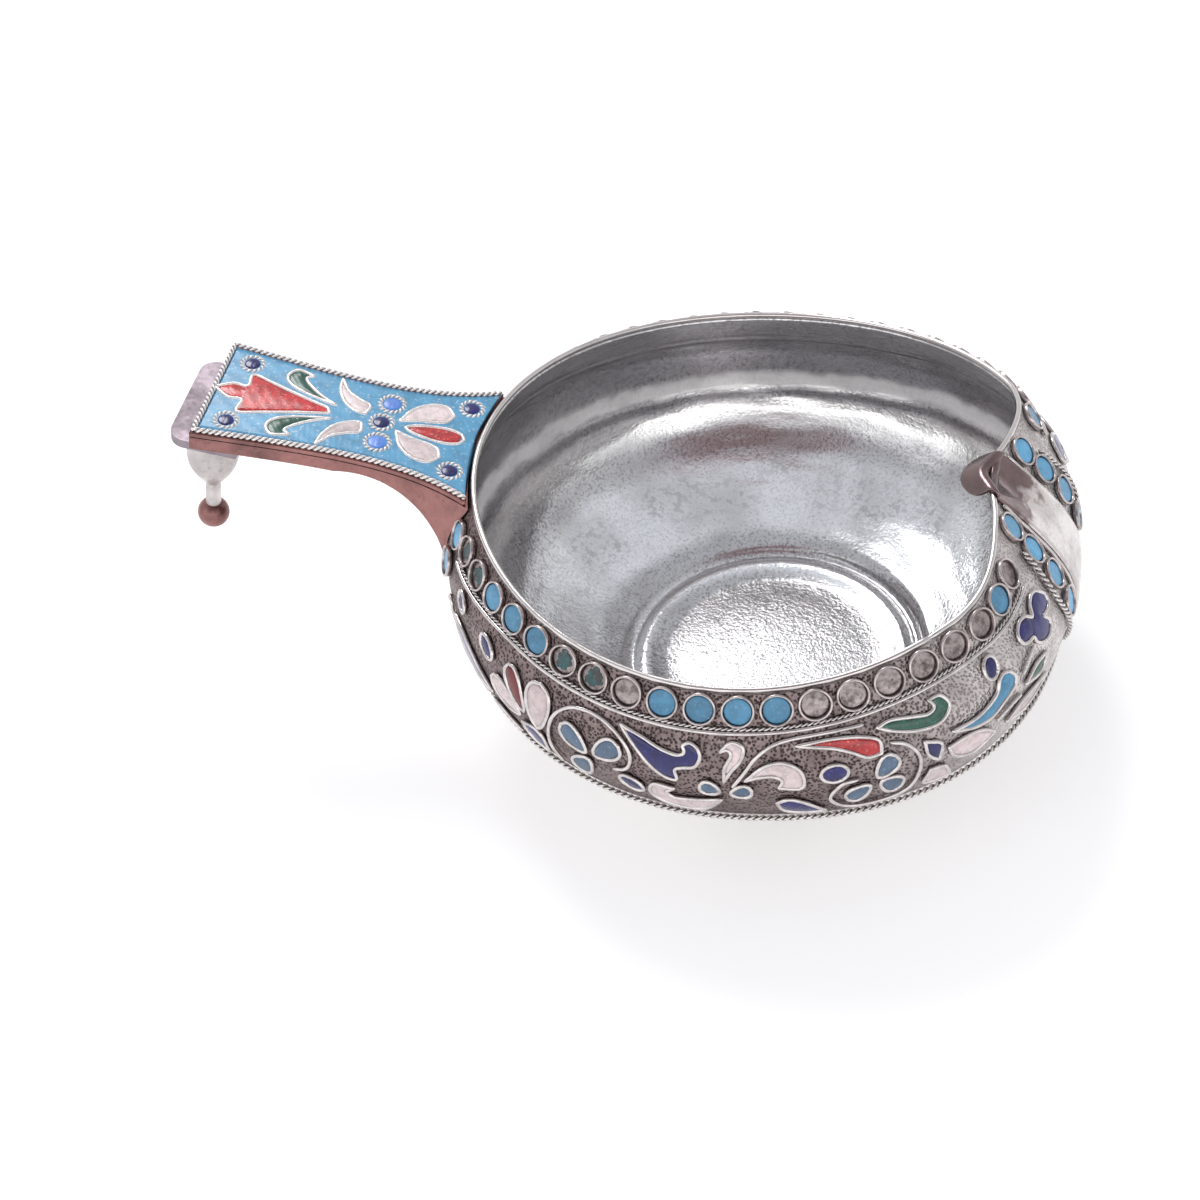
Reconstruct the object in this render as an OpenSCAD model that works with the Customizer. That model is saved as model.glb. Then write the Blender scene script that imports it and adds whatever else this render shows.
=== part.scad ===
// Small silver kovsh: a low round cup with a flat raised handle and a pinched prow.
// The wall carries wire cells filled with enamel, a band of enamel dots under the rim
// and twisted wire borders. The handle is a tray of enamel over a plain bracket.
// X runs from the handle to the prow, Z is up, and the cup rests on the plane Z = 0.

/* [Bowl] */
// Outer radius of the bowl at its rim
rim_r = 25; // [22:0.1:30]
// Height of the rim at the two low sides
rim_h = 22; // [19:0.5:27]
// How much higher the rim stands at the handle and at the prow
rim_rise = 3; // [1:0.1:5]
// Thickness of the silver sheet
sheet_t = 0.5; // [0.4:0.05:0.9]
// Height of the dotted band under the rim
band_h = 2.9; // [2.8:0.1:4]
// How far the dotted band spreads from the rim to its border
band_flare = 1.5; // [0.8:0.1:2.2]
// How far the belly stands out past the border of the band
belly_bulge = 1.6; // [0.8:0.1:3]
// Drop from the border of the band to the widest part of the belly
belly_drop = 4.7; // [3.5:0.1:6]
// Length of wall from the border of the band to the lower rope
zone_len = 10.2; // [9.4:0.2:12]

/* [Foot] */
// Radius where the wall turns into the foot
foot_r = 15; // [12:0.5:19]
// Height of that turn above the table
foot_z = 2; // [1.6:0.1:3]
// Height of the ring that the cup stands on
foot_ring_h = 0.65; // [0.4:0.05:1]
// Width of that ring
foot_ring_w = 1.6; // [1:0.1:3]
// Width of the ledge around the well in the bottom of the cup
well_ledge = 1.8; // [0.8:0.1:3]

/* [Prow] */
// Depth of the pinch at the rim
prow_depth = 4.1; // [2:0.1:5.5]
// Run of the sloping face for each millimetre it drops
prow_slope = 0.98; // [0.7:0.02:1.3]
// Half width of the polished strip at the rim
prow_half = 2.9; // [2.2:0.1:3.1]
// Widening of the strip from the rim to the lower rope, on each side
prow_widen = 0.4; // [0:0.1:0.8]
// Spread of the right shoulder for each millimetre of width
spread_right = 0.08; // [0:0.02:0.4]
// Spread of the left shoulder for each millimetre of width
spread_left = 0.36; // [0:0.02:0.5]
// Softness of the blend between pinch and bowl
prow_soft = 5; // [3:0.5:7]
// How far the belly swells on each side of the pinch
prow_swell = 1.2; // [0:0.1:2]
// Depth of the notch in the rim at the middle of the pinch
prow_notch = 1.4; // [0:0.1:1.8]
// Thickness of the polished strip
strip_t = 0.55; // [0.4:0.05:0.9]
// Length of the tongue that the strip folds over the rim
tongue_len = 1.7; // [0.8:0.1:2.4]
// Half width of the tongue
tongue_half = 2.2; // [1.4:0.1:2.8]

/* [Wire and enamel] */
// Diameter of the round wire on the rim
lip_d = 0.55; // [0.4:0.05:0.8]
// Diameter of the twisted wires
rope_d = 0.55; // [0.4:0.05:0.7]
// Diameter of the fine twisted wire under the dots
fine_rope_d = 0.35; // [0.25:0.05:0.4]
// Diameter of the wires that outline the cells
cell_wire_d = 0.4; // [0.3:0.05:0.55]
// Height of the enamel above the silver
enamel_h = 0.3; // [0.2:0.05:0.45]
// Outer diameter of a dot's collar
collar_d = 2.7; // [2.4:0.05:2.8]
// Wall of a dot's collar
collar_t = 0.25; // [0.2:0.05:0.4]
// Height of a dot's collar
collar_h = 0.5; // [0.35:0.05:0.7]
// Distance from one dot to the next along the rim
dot_pitch = 3.1; // [2.9:0.05:3.6]
// Seam left under wires, collars and enamel
seam = 0.06; // [0.04:0.01:0.1]

/* [Handle] */
// Length of the handle along its slope
handle_len = 25.2; // [18:0.2:32]
// Slope of the handle in degrees
handle_pitch = 11.4; // [0:0.2:18]
// Half width of the handle at its end
handle_end = 6.4; // [5.8:0.1:8]
// How much each side draws in towards the waist
handle_taper = 2.6; // [1.5:0.1:3]
// How much each side flares again at the root
handle_flare = 3.8; // [2.5:0.1:5]
// Thickness of the tray floor
tray_t = 0.5; // [0.4:0.05:0.8]
// Thickness of the bracket under the tray
bracket_t = 1.3; // [1:0.1:2]
// Radius of the curve that runs from the bracket down the bowl
gusset_r = 9; // [6:0.5:11]

/* [Hook] */
// Half width of the lip under the handle's end
lip_half = 5.6; // [4:0.1:6]
// How far the lip stands out past the handle's end
lip_out = 2.4; // [2:0.1:3.5]
// Thickness of the lip
lip_t = 0.9; // [0.7:0.05:1.2]
// Length of the turned flare below the lip
hook_drop = 8.7; // [5.5:0.1:10]
// Radius of the flare at the lip
flare_r = 2.4; // [1.4:0.1:2.8]
// Height over which the flare narrows to the stem
flare_run = 3.6; // [2:0.1:5]
// Length of the round stem below the flare
stem_len = 2.7; // [1.5:0.1:5]
// Radius of the stem
stem_r = 0.72; // [0.5:0.02:0.9]
// Radius of the ball at its tip
ball_r = 1.5; // [1.1:0.05:1.8]

/* [Hidden] */
$fn = 64;

// Colours of the silver and of the enamels
silver = "#b9b5b3";
bright_wire = "#d9d4d1";
rose_silver = "#a98d86";
turquoise = "#4d93bd";
worn_teal = "#4b6f73";
cobalt = "#2d3288";
cornflower = "#5f8fe0";
white_enamel = "#dccdcb";
red_enamel = "#c0393c";
dark_red = "#701a1e";
green_enamel = "#2d5a50";
grey_blue = "#6d8ba0";

// Steps round the bowl, rows down its wall, and steps along the edge of one cell
ring_steps = 80;
band_rows = 3;
upper_rows = 4;
low_rows = 8;
cell_steps = 8;
petal_steps = 5;

// The ornament is drawn flat for the right side: across from -44.1 at the handle to 44.1
// at the prow, and down from 0 at the border of the band to 10.2 at the lower rope.
draw_half = 44.1;
draw_depth = 10.2;

// Sizes that follow from the ones above
band_r = rim_r + band_flare;
band_z = rim_h - band_h;
belly_r = band_r + belly_bulge;
belly_z = band_z - belly_drop;
rim_top = rim_h + rim_rise;
band_len = norm([band_flare, band_h]);
upper_curve = (pow(belly_drop, 2) + pow(belly_bulge, 2)) / (2 * belly_bulge);
upper_sweep = asin(belly_drop / upper_curve);
upper_len = upper_curve * upper_sweep * PI / 180;
belly_s = band_len + upper_len;

// Below the belly the wall is a curve from an upright start to a 20 degree slope at the foot
foot_slope = 20;
start_pull = 0.55;
end_pull = 0.58;
pull_down = start_pull * (belly_z - foot_z);
pull_in = end_pull * (belly_r - foot_r);
low_a = [belly_r, belly_z];
low_b = [belly_r, belly_z - pull_down];
low_c = [foot_r + pull_in * cos(foot_slope), foot_z + pull_in * sin(foot_slope)];
low_d = [foot_r, foot_z];
low_hull = norm(low_b - low_a) + norm(low_c - low_b) + norm(low_d - low_c);
low_len = (2 * norm(low_d - low_a) + low_hull) / 3;
wall_len = belly_s + low_len;

// The bottom is a flat disc, a well with a round edge inside and a narrower face below
base_in = 0.5;
base_r = foot_r - base_in;
well_round = 0.3;
well_toe = 0.8;
floor_z = foot_ring_h + sheet_t;
well_r = foot_r - well_ledge;

// The pinch is flat over this half width, and the inner skin lies this many insets behind it
prow_x = rim_r - prow_depth;
pinch_half = 3.3;
pinch_inset = 1.3;

// The notch is this wide on each side of the middle, and fades out this far below the rim
notch_half = 2;
notch_run = 7;

// Angles of the bowl's rows of points, crowded towards the prow
ring_crowd = 25;
ring_angles = [for (i = [0:ring_steps - 1])
    let(a = 360 * i / ring_steps) a - ring_crowd * sin(a)];

// Half steps used to find the slope of the wall, along it and round it
near_s = 0.04;
near_th = 0.4;

// A length well past the whole cup, for blocks that cut
far = 4 * rim_r;

function share(x) = min(1, max(0, x));
function ease(x) = let(t = share(x)) t * t * (3 - 2 * t);
function soft_min(a, b, k) = min(a, b) - pow(max(k - abs(a - b), 0), 2) / (4 * k);
function bend(a, b, c, d, t) =
    pow(1 - t, 3) * a + 3 * pow(1 - t, 2) * t * b + 3 * (1 - t) * t * t * c + t * t * t * d;

// Radius and height of the outer wall at a distance s below the rim
function wall(s) =
    s <= band_len ? [rim_r + band_flare * s / band_len, rim_h - band_h * s / band_len] :
    s <= belly_s ? let(a = upper_sweep * (belly_s - s) / upper_len)
        [belly_r - upper_curve * (1 - cos(a)), belly_z + upper_curve * sin(a)] :
    bend(low_a, low_b, low_c, low_d, (s - belly_s) / low_len);

// The same for the inner wall, one sheet further in
function inner_wall(s) =
    let(d = wall(s + near_s) - wall(s - near_s), n = [-d[1], d[0]] / norm(d)) wall(s) - sheet_t * n;

// Puts a radius and height at an angle: the rim rises at both ends, and the prow is pinched
// with a swell on each side; inset is the depth of the point below the outer skin
function place(rz, th, inset = 0) =
    let(
        level = share((rz[1] - foot_z) / (band_z - foot_z)),
        z = rz[1] + rim_rise * pow(cos(th), 2) * ease(level),
        r = rz[0] + (cos(th) > 0 ? prow_swell * pow(sin(2 * th), 2) * 4 * level * (1 - level) : 0),
        x = r * cos(th),
        y = r * sin(th),
        spread = y < 0 ? spread_right : spread_left,
        width = max(abs(y) - pinch_half, 0),
        notch = prow_notch * exp(-pow(y / notch_half, 2)) * ease(1 - (rim_top - z) / notch_run),
        face = prow_x - notch - pinch_inset * inset + (rim_top - z) * prow_slope + spread * width
    )
    [cos(th) > 0 ? soft_min(x, face, prow_soft) : x, y, z];

function skin_normal(th, s) =
    let(
        across = place(wall(s), th + near_th) - place(wall(s), th - near_th),
        down = place(wall(s + near_s), th) - place(wall(s - near_s), th),
        n = cross(down, across)
    )
    n / norm(n);

// A point at a height above the outer wall
function on_wall(th, s, h = 0) = place(wall(s), th) + h * skin_normal(th, s);

// Angle and distance below the rim of a point of the drawing; side is -1 right, 1 left
function drawn_angle(a) = 90 - 90 * a / draw_half;
function drawn(p, side) = [side * drawn_angle(p[0]), band_len + p[1] * zone_len / draw_depth];

// A smooth curve through points, at u from 0 to 1
function knot(p, i) =
    i < 0 ? 2 * p[0] - p[1] :
    i > len(p) - 1 ? 2 * p[len(p) - 1] - p[len(p) - 2] : p[i];
function through(p, u) =
    let(
        k = min(floor(u * (len(p) - 1)), len(p) - 2),
        t = u * (len(p) - 1) - k,
        a = knot(p, k - 1), b = knot(p, k), c = knot(p, k + 1), d = knot(p, k + 2)
    )
    (2 * b + (c - a) * t + (2 * a - 5 * b + 4 * c - d) * t * t + (3 * b - a - 3 * c + d) * t * t * t) / 2;
function curve(p, n) = [for (i = [0:n]) through(p, i / n)];
function backwards(p) = [for (i = [len(p) - 1:-1:0]) p[i]];
// Moves each point of a closed outline outwards
function widened(p, d) =
    let(
        n = len(p),
        area = [for (i = [0:n - 1]) cross2(p[i], p[(i + 1) % n])] * [for (i = [0:n - 1]) 1]
    )
    [for (i = [0:n - 1])
        let(t = p[(i + 1) % n] - p[(i + n - 1) % n], q = [t[1], -t[0]] / norm(t))
        p[i] + (area > 0 ? d : -d) * q];
function cross2(a, b) = a[0] * b[1] - a[1] * b[0];

// A petal is pointed where it starts and round at its tip, and full width at its peak
petal_peak = 1.53;
function petal_width(t) = petal_peak * pow(t, 0.8) * sqrt(1 - pow(t, 4));
function drop_width(t) = 2 * sqrt(t * (1 - t));
function petal_edges(base, tip, width, round = false) =
    let(d = tip - base, n = [-d[1], d[0]] / norm(d))
    [for (e = [1, -1]) [for (i = [0:petal_steps])
        let(
            t = round ? (1 - cos(180 * i / petal_steps)) / 2 : i / petal_steps,
            w = round ? drop_width(t) : petal_width(t)
        )
        base + t * d + e * n * width / 2 * w]];
function wall_petal(c) = petal_edges(c[1], c[2], c[3], c[0] == "drop");
function leaf_steps(c) = max(cell_steps, 2 * len(c[2]) - 2);
function leaf_edges(c) = [curve(c[1], leaf_steps(c)), curve(c[2], leaf_steps(c))];
function outline(edges) =
    let(n = len(edges[0]) - 1)
    concat(edges[0], [for (i = [n:-1:0]) if (norm(edges[1][i] - edges[0][i]) > seam) edges[1][i]]);

// Draws the two edges of a cell together by the half width of its wire
function inside(edges, gap) =
    let(keep = [for (i = [0:len(edges[0]) - 1]) if (norm(edges[0][i] - edges[1][i]) / 2 > gap + seam) i])
    [for (e = [0, 1]) [for (i = keep)
        let(m = (edges[0][i] + edges[1][i]) / 2, d = edges[e][i] - m) m + d * (1 - gap / norm(d))]];

// Leaves on the wall: enamel, one edge, other edge; each edge runs from the stem to the tip
LEAVES = [
    ["cobalt", [[-30.2, 4.4], [-28.3, 4.4], [-26.7, 4.9], [-25, 5.6], [-22.8, 6.6]],
        [[-30.2, 4.4], [-29.6, 6.2], [-28.4, 7.1], [-26.4, 7.4], [-22.8, 6.6]]],
    ["cobalt", [[-18.5, 6.5], [-16.9, 6], [-15.9, 6.6], [-15.8, 8.4]],
        [[-18.5, 6.5], [-18, 7.5], [-17.2, 8.1], [-15.8, 8.4]]],
    ["cobalt", [[-8, 1], [-6, 1.45], [-4.5, 2], [-3.1, 2.3], [-2.4, 2.15], [-2.3, 1.8], [-2.5, 1.45]],
        [
            [-8, 1], [-6.4, 2.6], [-5.2, 3.8], [-4, 4.6], [-2.9, 4.75], [-3.05, 3.75],
            [-2.4, 3.4], [-1.4, 3.15], [-0.95, 2.3], [-1.2, 1.5], [-1.9, 1.1], [-2.5, 1.45]
        ]],
    ["cobalt",
        [
            [28.8, 1.55], [29, 1.15], [29.8, 0.8], [30.8, 0.95], [31.25, 1.25], [31.5, 1.46],
            [31.6, 1.55], [31.7, 1.6], [31.8, 1.57], [31.9, 1.48], [32.1, 1.28], [32.6, 0.98],
            [33.5, 0.9], [34.4, 1.25], [35.2, 2.1]
        ],
        [
            [28.8, 1.55], [29, 2.05], [29.7, 2.35], [30.5, 2.5], [30.6, 3], [31.2, 3.5],
            [32, 3.83], [32.8, 3.87], [33.5, 3.55], [33.55, 3.1], [33.05, 2.6], [33.7, 2.7],
            [34.4, 2.8], [35, 2.65], [35.2, 2.1]
        ]],
    ["white", [[0.7, 6.6], [-1.3, 7], [-3.2, 7.2], [-3.9, 6.6], [-3.2, 5.9]],
        [[0.7, 6.6], [-1, 8.6], [-3.6, 8.6], [-5.3, 7.4], [-5, 5.9], [-3.2, 5.9]]],
    ["white", [[1, 4.4], [1.1, 3], [1.6, 1.9], [1.3, 1.4], [0.7, 1.6]],
        [[1, 4.4], [1.6, 3.3], [2.4, 2.3], [2.6, 1.2], [1.6, 0.8], [0.7, 1.6]]],
    ["white", [[2.7, 4.2], [4.2, 2.9], [5.8, 2.6], [7.2, 3.5], [7.3, 5.1], [5.4, 5]],
        [[2.7, 4.2], [4, 3.8], [5.1, 3.8], [5.7, 4.3], [5.4, 5]]],
    ["red", [[7, 1.3], [9.6, 1.2], [12, 1.5], [13.7, 2.2], [13.8, 3.3]],
        [[7, 1.3], [9.8, 1.9], [11.4, 2.6], [12.6, 3.3], [13.8, 3.3]]],
    ["green", [[13.8, 1.3], [15, 1.1], [16.9, 1.5], [18.2, 1.8], [18.9, 1.5], [18.6, 0.9]],
        [[13.8, 1.3], [15.2, 2], [17, 2.6], [19, 2.8], [20.2, 2], [19.7, 1], [18.6, 0.9]]],
    ["cobalt", [[9.2, 8.8], [7.6, 7.2], [6.2, 6.5], [5.2, 6.9]],
        [[9.2, 8.8], [7.4, 8.8], [5.8, 8.2], [5.2, 6.9]]],
    ["cobalt", [[17.4, 3.7], [18.8, 4.5], [18.5, 5.9]], [[17.4, 3.7], [17.6, 5], [18.5, 5.9]]],
    ["white", [[19.4, 5.2], [21.4, 5.1], [22.9, 5.6], [24, 6.6]],
        [[19.4, 5.2], [20, 6.4], [21.8, 7.2], [24, 6.6]]],
    ["white", [[17.8, 6.6], [19.1, 7], [19.8, 8.6]], [[17.8, 6.6], [17.4, 8.2], [19.8, 8.6]]],
    ["turquoise",
        [[19.9, 4], [21.9, 4.1], [23.3, 3.9], [24.6, 3.4], [25.2, 2.7], [25.7, 2.45], [26.4, 2.65]],
        [
            [19.9, 4], [22, 4.75], [23.8, 4.9], [25.3, 4.4], [26.2, 4.1], [26.75, 3.8],
            [26.85, 3.25], [26.4, 2.65]
        ]],
    ["green", [[27.9, 4.8], [29.5, 4.2], [31.4, 4.4]], [[27.9, 4.8], [30, 5.2], [31.4, 4.4]]],
    ["white", [[25.4, 6.6], [27.8, 5.9], [31.2, 6.2]], [[25.4, 6.6], [28.2, 7.1], [31.2, 6.2]]],
    ["white", [[-24.6, 7.9], [-27, 8], [-29.4, 8.9]], [[-24.6, 7.9], [-26, 9.3], [-29.4, 8.9]]],
    ["green", [[-24, 8.6], [-22.4, 8], [-19.6, 8.9]], [[-24, 8.6], [-22, 9.6], [-19.6, 8.9]]]
];

// Petals on the wall: enamel, where it starts, its tip, its width
PETALS = [
    ["dark_red", [-17.9, 4.9], [-20.3, 1.8], 1.9],
    ["white", [-18.5, 5.6], [-22.4, 4.5], 2.1],
    ["white", [-16.4, 5.6], [-16.3, 1.2], 2.8],
    ["grey_blue", [-11.1, 5], [-13.6, 3.4], 2],
    ["grey_blue", [-10.3, 4.8], [-8, 3], 2],
    ["grey_blue", [-10.9, 5.7], [-12.4, 7.9], 2],
    ["grey_blue", [0.6, 5.6], [-1, 5], 1.4],
    ["grey_blue", [1.5, 5.7], [3.2, 5.3], 1.4],
    ["grey_blue", [13.3, 5.4], [14.9, 3.9], 1.8],
    ["grey_blue", [12.7, 6.1], [10.9, 7.4], 1.8],
    ["grey_blue", [13.6, 6], [15.3, 7.2], 1.8],
    ["drop", [-28.1, 2.6], [-29.8, 1.8], 1],
    ["drop", [-22.5, 2.9], [-24.6, 2], 1.3],
    ["drop", [-8, 6.2], [-6, 7.2], 1.4],
    ["drop", [8.8, 4.1], [11, 4.2], 1.6],
    ["drop", [24.5, 2.2], [25.3, 0.7], 1.4],
    ["drop", [-31.6, 8.6], [-33.4, 7.4], 1.4]
];

// Plain wires on the wall: the loops round the three petals, and the stems
STEMS = [
    [
        [-14.2, 8.6], [-15.1, 6.2], [-14.6, 3.4], [-13.2, 1.7], [-11.4, 1.1], [-9.4, 1.3],
        [-7.7, 2.3], [-6.9, 3.6], [-7.3, 5], [-8.6, 5.6]
    ],
    [[1.6, 5], [2.8, 3.2], [3.6, 2.1], [5, 1.1], [6.8, 0.7], [9.6, 0.65], [12.8, 0.75]],
    [
        [14.6, 2.7], [15.9, 3.3], [16.8, 4.6], [16.8, 6.2], [15.8, 8.2], [13.5, 8.9],
        [11, 8.6], [9.5, 6.9], [10.4, 5.4], [11.8, 5.2]
    ],
    [[24.2, 5.6], [25.8, 5.3], [27.2, 5.2]],
    [[30, 2.9], [28.9, 3.2], [27.7, 3.8]],
    [[-35.4, 9.6], [-34.4, 6.4], [-32, 4.2], [-31, 5.6]]
];

// The twisted wire under the dots, and below it the plain wire, lie lower beside the handle
border_fall = 0.8;
border_from = -20;
border_run = 12;
border_end = 33.6;
border_start = -32.6;
border_gap = 0.4;
border_steps = 34;
function border(a) = border_fall * ease((border_from - a) / border_run);

// Rope that runs down the outer side of the dots beside the prow: distance from the middle
// of the prow, and down from the border of the band
COLUMN_ROPE = [
    [6.64, -0.7], [6.96, 1], [7.41, 2.6], [7.41, 4.2], [6.83, 6], [5.97, 8], [5.09, 9.6]
];

// Frame of the handle: u along the slope from the rim, v across, w up from the enamel
root_in = 0.6;
root_up = 0.1;
root_x = rim_r - root_in;
root_z = rim_top + root_up;
module handle_frame() {
    translate([-root_x, 0, root_z]) rotate([0, 0, 180]) rotate([0, -handle_pitch, 0]) children();
}
function handle_half(u) =
    let(t = 1 - u / handle_len) handle_end - handle_taper * t + handle_flare * pow(t, 4);
root_overlap = 1.4;

// Dots in a column beside the prow, and in a short one beside the handle, clear of the
// prow's edge wire and of the handle
column_clear = 0.35;
column_y = prow_half + cell_wire_d + collar_d / 2 + column_clear;
dot_r = rim_r + band_flare / 2;
column_angle = asin(column_y / dot_r);
column_s = 1.3;
column_count = 4;
column_pitch = 2.45;
root_clear = 0.47;
root_y = handle_half(root_overlap) + collar_d / 2 + root_clear;
root_angle = 180 - asin(root_y / band_r);
root_s = 3;
root_count = 2;
root_pitch = 2.95;
COLUMN = concat(
    [for (i = [0:column_count - 1]) [column_angle, column_s + i * column_pitch]],
    [for (i = [0:root_count - 1]) [root_angle, root_s + i * root_pitch]]
);

// Dots along the rim, from the first one beside the handle on each side to the last one
// that leaves room for the rope beside the prow
dot_s = 1.4;
rope_clear = 0.03;
rope_s = dot_s + (collar_d + fine_rope_d) / 2 + rope_clear;
column_room = 2.15;
function arc_angle(length) = length / dot_r * 180 / PI;
dot_step = arc_angle(dot_pitch);
first_angle = root_angle - arc_angle(collar_d + seam);
last_angle = column_angle + arc_angle(collar_d + column_room);
dot_count = floor((first_angle - last_angle) / dot_step) + 1;
WORN_RIGHT = [0, 1, 5, 6];
EMPTY_RIGHT = [7, 12, 13, 14, 15, 16, 17, 19];
WORN_LEFT = [3, 11];
EMPTY_LEFT = [4, 15];
function has(list, i) = len([for (k = list) if (k == i) k]) > 0;
function dot_state(side, i) =
    has(side < 0 ? EMPTY_RIGHT : EMPTY_LEFT, i) ? 0 : has(side < 0 ? WORN_RIGHT : WORN_LEFT, i) ? 1 : 2;
function dot_at(side, i) =
    let(th = first_angle - i * dot_step) [side * th, dot_s + border(draw_half * (1 - th / 90))];

handle_steps = 14;
function handle_plan(inset) =
    let(
        last = handle_len - inset,
        us = [for (i = [0:handle_steps]) -root_overlap + (last + root_overlap) * i / handle_steps]
    )
    concat([for (u = us) [u, handle_half(u) - inset]],
        backwards([for (u = us) [u, inset - handle_half(u)]]));
tray_top = -enamel_h;
tray_base = tray_top - tray_t;
bracket_base = tray_base - bracket_t;
rim_clear = 0.15;
rim_gap = rope_d / 2 + rim_clear;
module rim_space(extra = 0) {
    cylinder(r = rim_r + rim_gap + extra, h = 3 * rim_top, center = true);
}

// Cells on the handle, in u and v: enamel, one edge, other edge; both sides alike where v is not 0
TULIP_EDGE = [[24.9, 0], [23.4, 0.95], [22.1, 0.95], [22.1, 2.6], [20.2, 2.1], [17.4, 1.2], [14.2, 0.3]];
HANDLE_LEAVES = [
    ["green", [[13.9, 0.9], [17, 1.7], [18.6, 2.5], [19.1, 3.5], [18.4, 4.5], [16.8, 4.1]],
        [[13.9, 0.9], [15.7, 1.9], [17, 3], [17.4, 3.7], [16.8, 4.1]]],
    ["white", [[14.3, 4.6], [14.1, 3.1], [13.3, 1.6], [12.2, 0.8], [11.2, 0.6]],
        [[14.3, 4.6], [13.3, 3.1], [12, 2.3], [11, 1.8], [11.2, 0.6]]],
    ["white", [[8, 0.7], [7.2, 2.5], [5.9, 3.6], [4.4, 3.8], [3.5, 2.9]],
        [[8, 0.7], [6.4, 1.2], [4.8, 1.5], [3.9, 1.9], [3.5, 2.9]]]
];
RED_PETAL = [[7.3, 0], [1.9, 0], 2];
function flip(p) = [for (q = p) [q[0], -q[1]]];
tulip = [curve(TULIP_EDGE, 2 * cell_steps), curve(flip(TULIP_EDGE), 2 * cell_steps)];
red_petal = petal_edges(RED_PETAL[0], RED_PETAL[1], RED_PETAL[2]);
function both_sides(name) =
    [for (c = HANDLE_LEAVES) if (c[0] == name) for (e = [0, 1])
        e == 0 ? leaf_edges(c) : [for (r = leaf_edges(c)) flip(r)]];
handle_cells = concat([tulip, red_petal], both_sides("green"), both_sides("white"));
// The drawing is made for a handle of this length
handle_drawn = 25.2;
handle_ratio = handle_len / handle_drawn;
function fit(p) = [for (q = p) [q[0] * handle_ratio, q[1]]];

// Round cells on the handle: place and radius of the enamel
COBALT_DOTS = [[22.6, 4], [22.6, -4], [2.2, 4.3], [2.2, -4.3], [9.5, 0]];
BLUE_DOTS = [[9.2, 2.65], [9.2, -2.65]];
cobalt_r = 0.85 * handle_ratio;
blue_r = 0.95 * handle_ratio;
ring_t = 0.3;

// The bracket meets the wall in a round gusset that starts below the belly's widest part
gusset_in = 0.7;
gusset_z = belly_z + gusset_in * rim_rise;
gusset_x = belly_r - gusset_in + gusset_r;
wall_steps = 24;

// The polished strip ends just above the lower rope, and its edge wires start below the rim
strip_clear = 0.3;
strip_end = band_len + zone_len - strip_clear;
strip_steps = 14;
strip_across = [-1, -0.7, -0.35, 0, 0.35, 0.7, 1];
edge_start = 0.5;
function strip_half(s) = prow_half + prow_widen * s / strip_end;
function strip_angle(y, s) = asin(y / wall(s)[0]);

// The strip thins towards the rim, bends over the lip and ends in a free tongue with a round
// tip, which falls by this angle into the cup
tongue_t = 0.3;
tongue_fall = 35;
thin_run = 3;
lip_bends = [0, 45, 90, 90 + tongue_fall];
tongue_runs = [0.35, 0.65, 0.85, 0.97];
tip_power = 2.6;
function strip_thick(s) = strip_t + (tongue_t - strip_t) * ease(1 - s / thin_run);
function bend_half(bend) = prow_half + (tongue_half - prow_half) * ease(bend / 180);
function tip_half(run) = bend_half(90 + tongue_fall) * sqrt(1 - pow(run, tip_power));
function lip_middle(th) =
    (place(wall(0), th) + place(inner_wall(0), th, sheet_t)) / 2 + [0, 0, seam + lip_d / 2];
function level_out(th) = let(n = skin_normal(th, 0)) [n[0], n[1], 0] / norm([n[0], n[1]]);
function over_lip(th, bend, h, run) =
    let(out = level_out(th), far_out = lip_d / 2 + seam + h)
    lip_middle(th) + far_out * (cos(bend) * out + [0, 0, sin(bend)])
        - run * tongue_len * (cos(tongue_fall) * out + [0, 0, sin(tongue_fall)]);
function tongue_ring(bend, half, run) =
    let(ths = [for (k = strip_across) strip_angle(k * half, 0)])
    concat([for (th = ths) over_lip(th, bend, 0, run)],
        [for (th = backwards(ths)) over_lip(th, bend, tongue_t, run)]);

// Steps from one point of a stem to the next
stem_steps = 3;

// The lip under the handle's end, and the hook that hangs from it
lip_back = 4;
lip_corner = 1.6;
lip_top = bracket_base;
hook_edge = 0.05;
flare_steps = 8;
hook_u = handle_len + lip_out - flare_r - hook_edge;
hook_top = lip_top - lip_t;
hook_low = hook_top - hook_drop;
ball_w = hook_low - stem_len - sqrt(pow(ball_r, 2) - pow(stem_r, 2));
function flare_at(h) = stem_r + (flare_r - stem_r) * sin(90 * h / flare_run);

// A tube of rings of points, closed into a loop or capped at both ends
module tube(rings, loop = false, flipped = false) {
    n = len(rings);
    m = len(rings[0]);
    pts = [for (r = rings) for (i = [0:m - 1]) r[flipped ? m - 1 - i : i]];
    sides = [for (i = [0:n - (loop ? 1 : 2)]) for (j = [0:m - 1])
        let(k = (i + 1) % n, l = (j + 1) % m, a = i * m + j, b = i * m + l, c = k * m + l, d = k * m + j)
        for (f = [[a, b, c], [a, c, d]]) f];
    first = [for (j = [1:m - 2]) [0, j + 1, j]];
    last = [for (j = [1:m - 2]) [(n - 1) * m, (n - 1) * m + j, (n - 1) * m + j + 1]];
    polyhedron(points = pts, faces = loop ? sides : concat(sides, first, last), convexity = 8);
}

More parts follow.
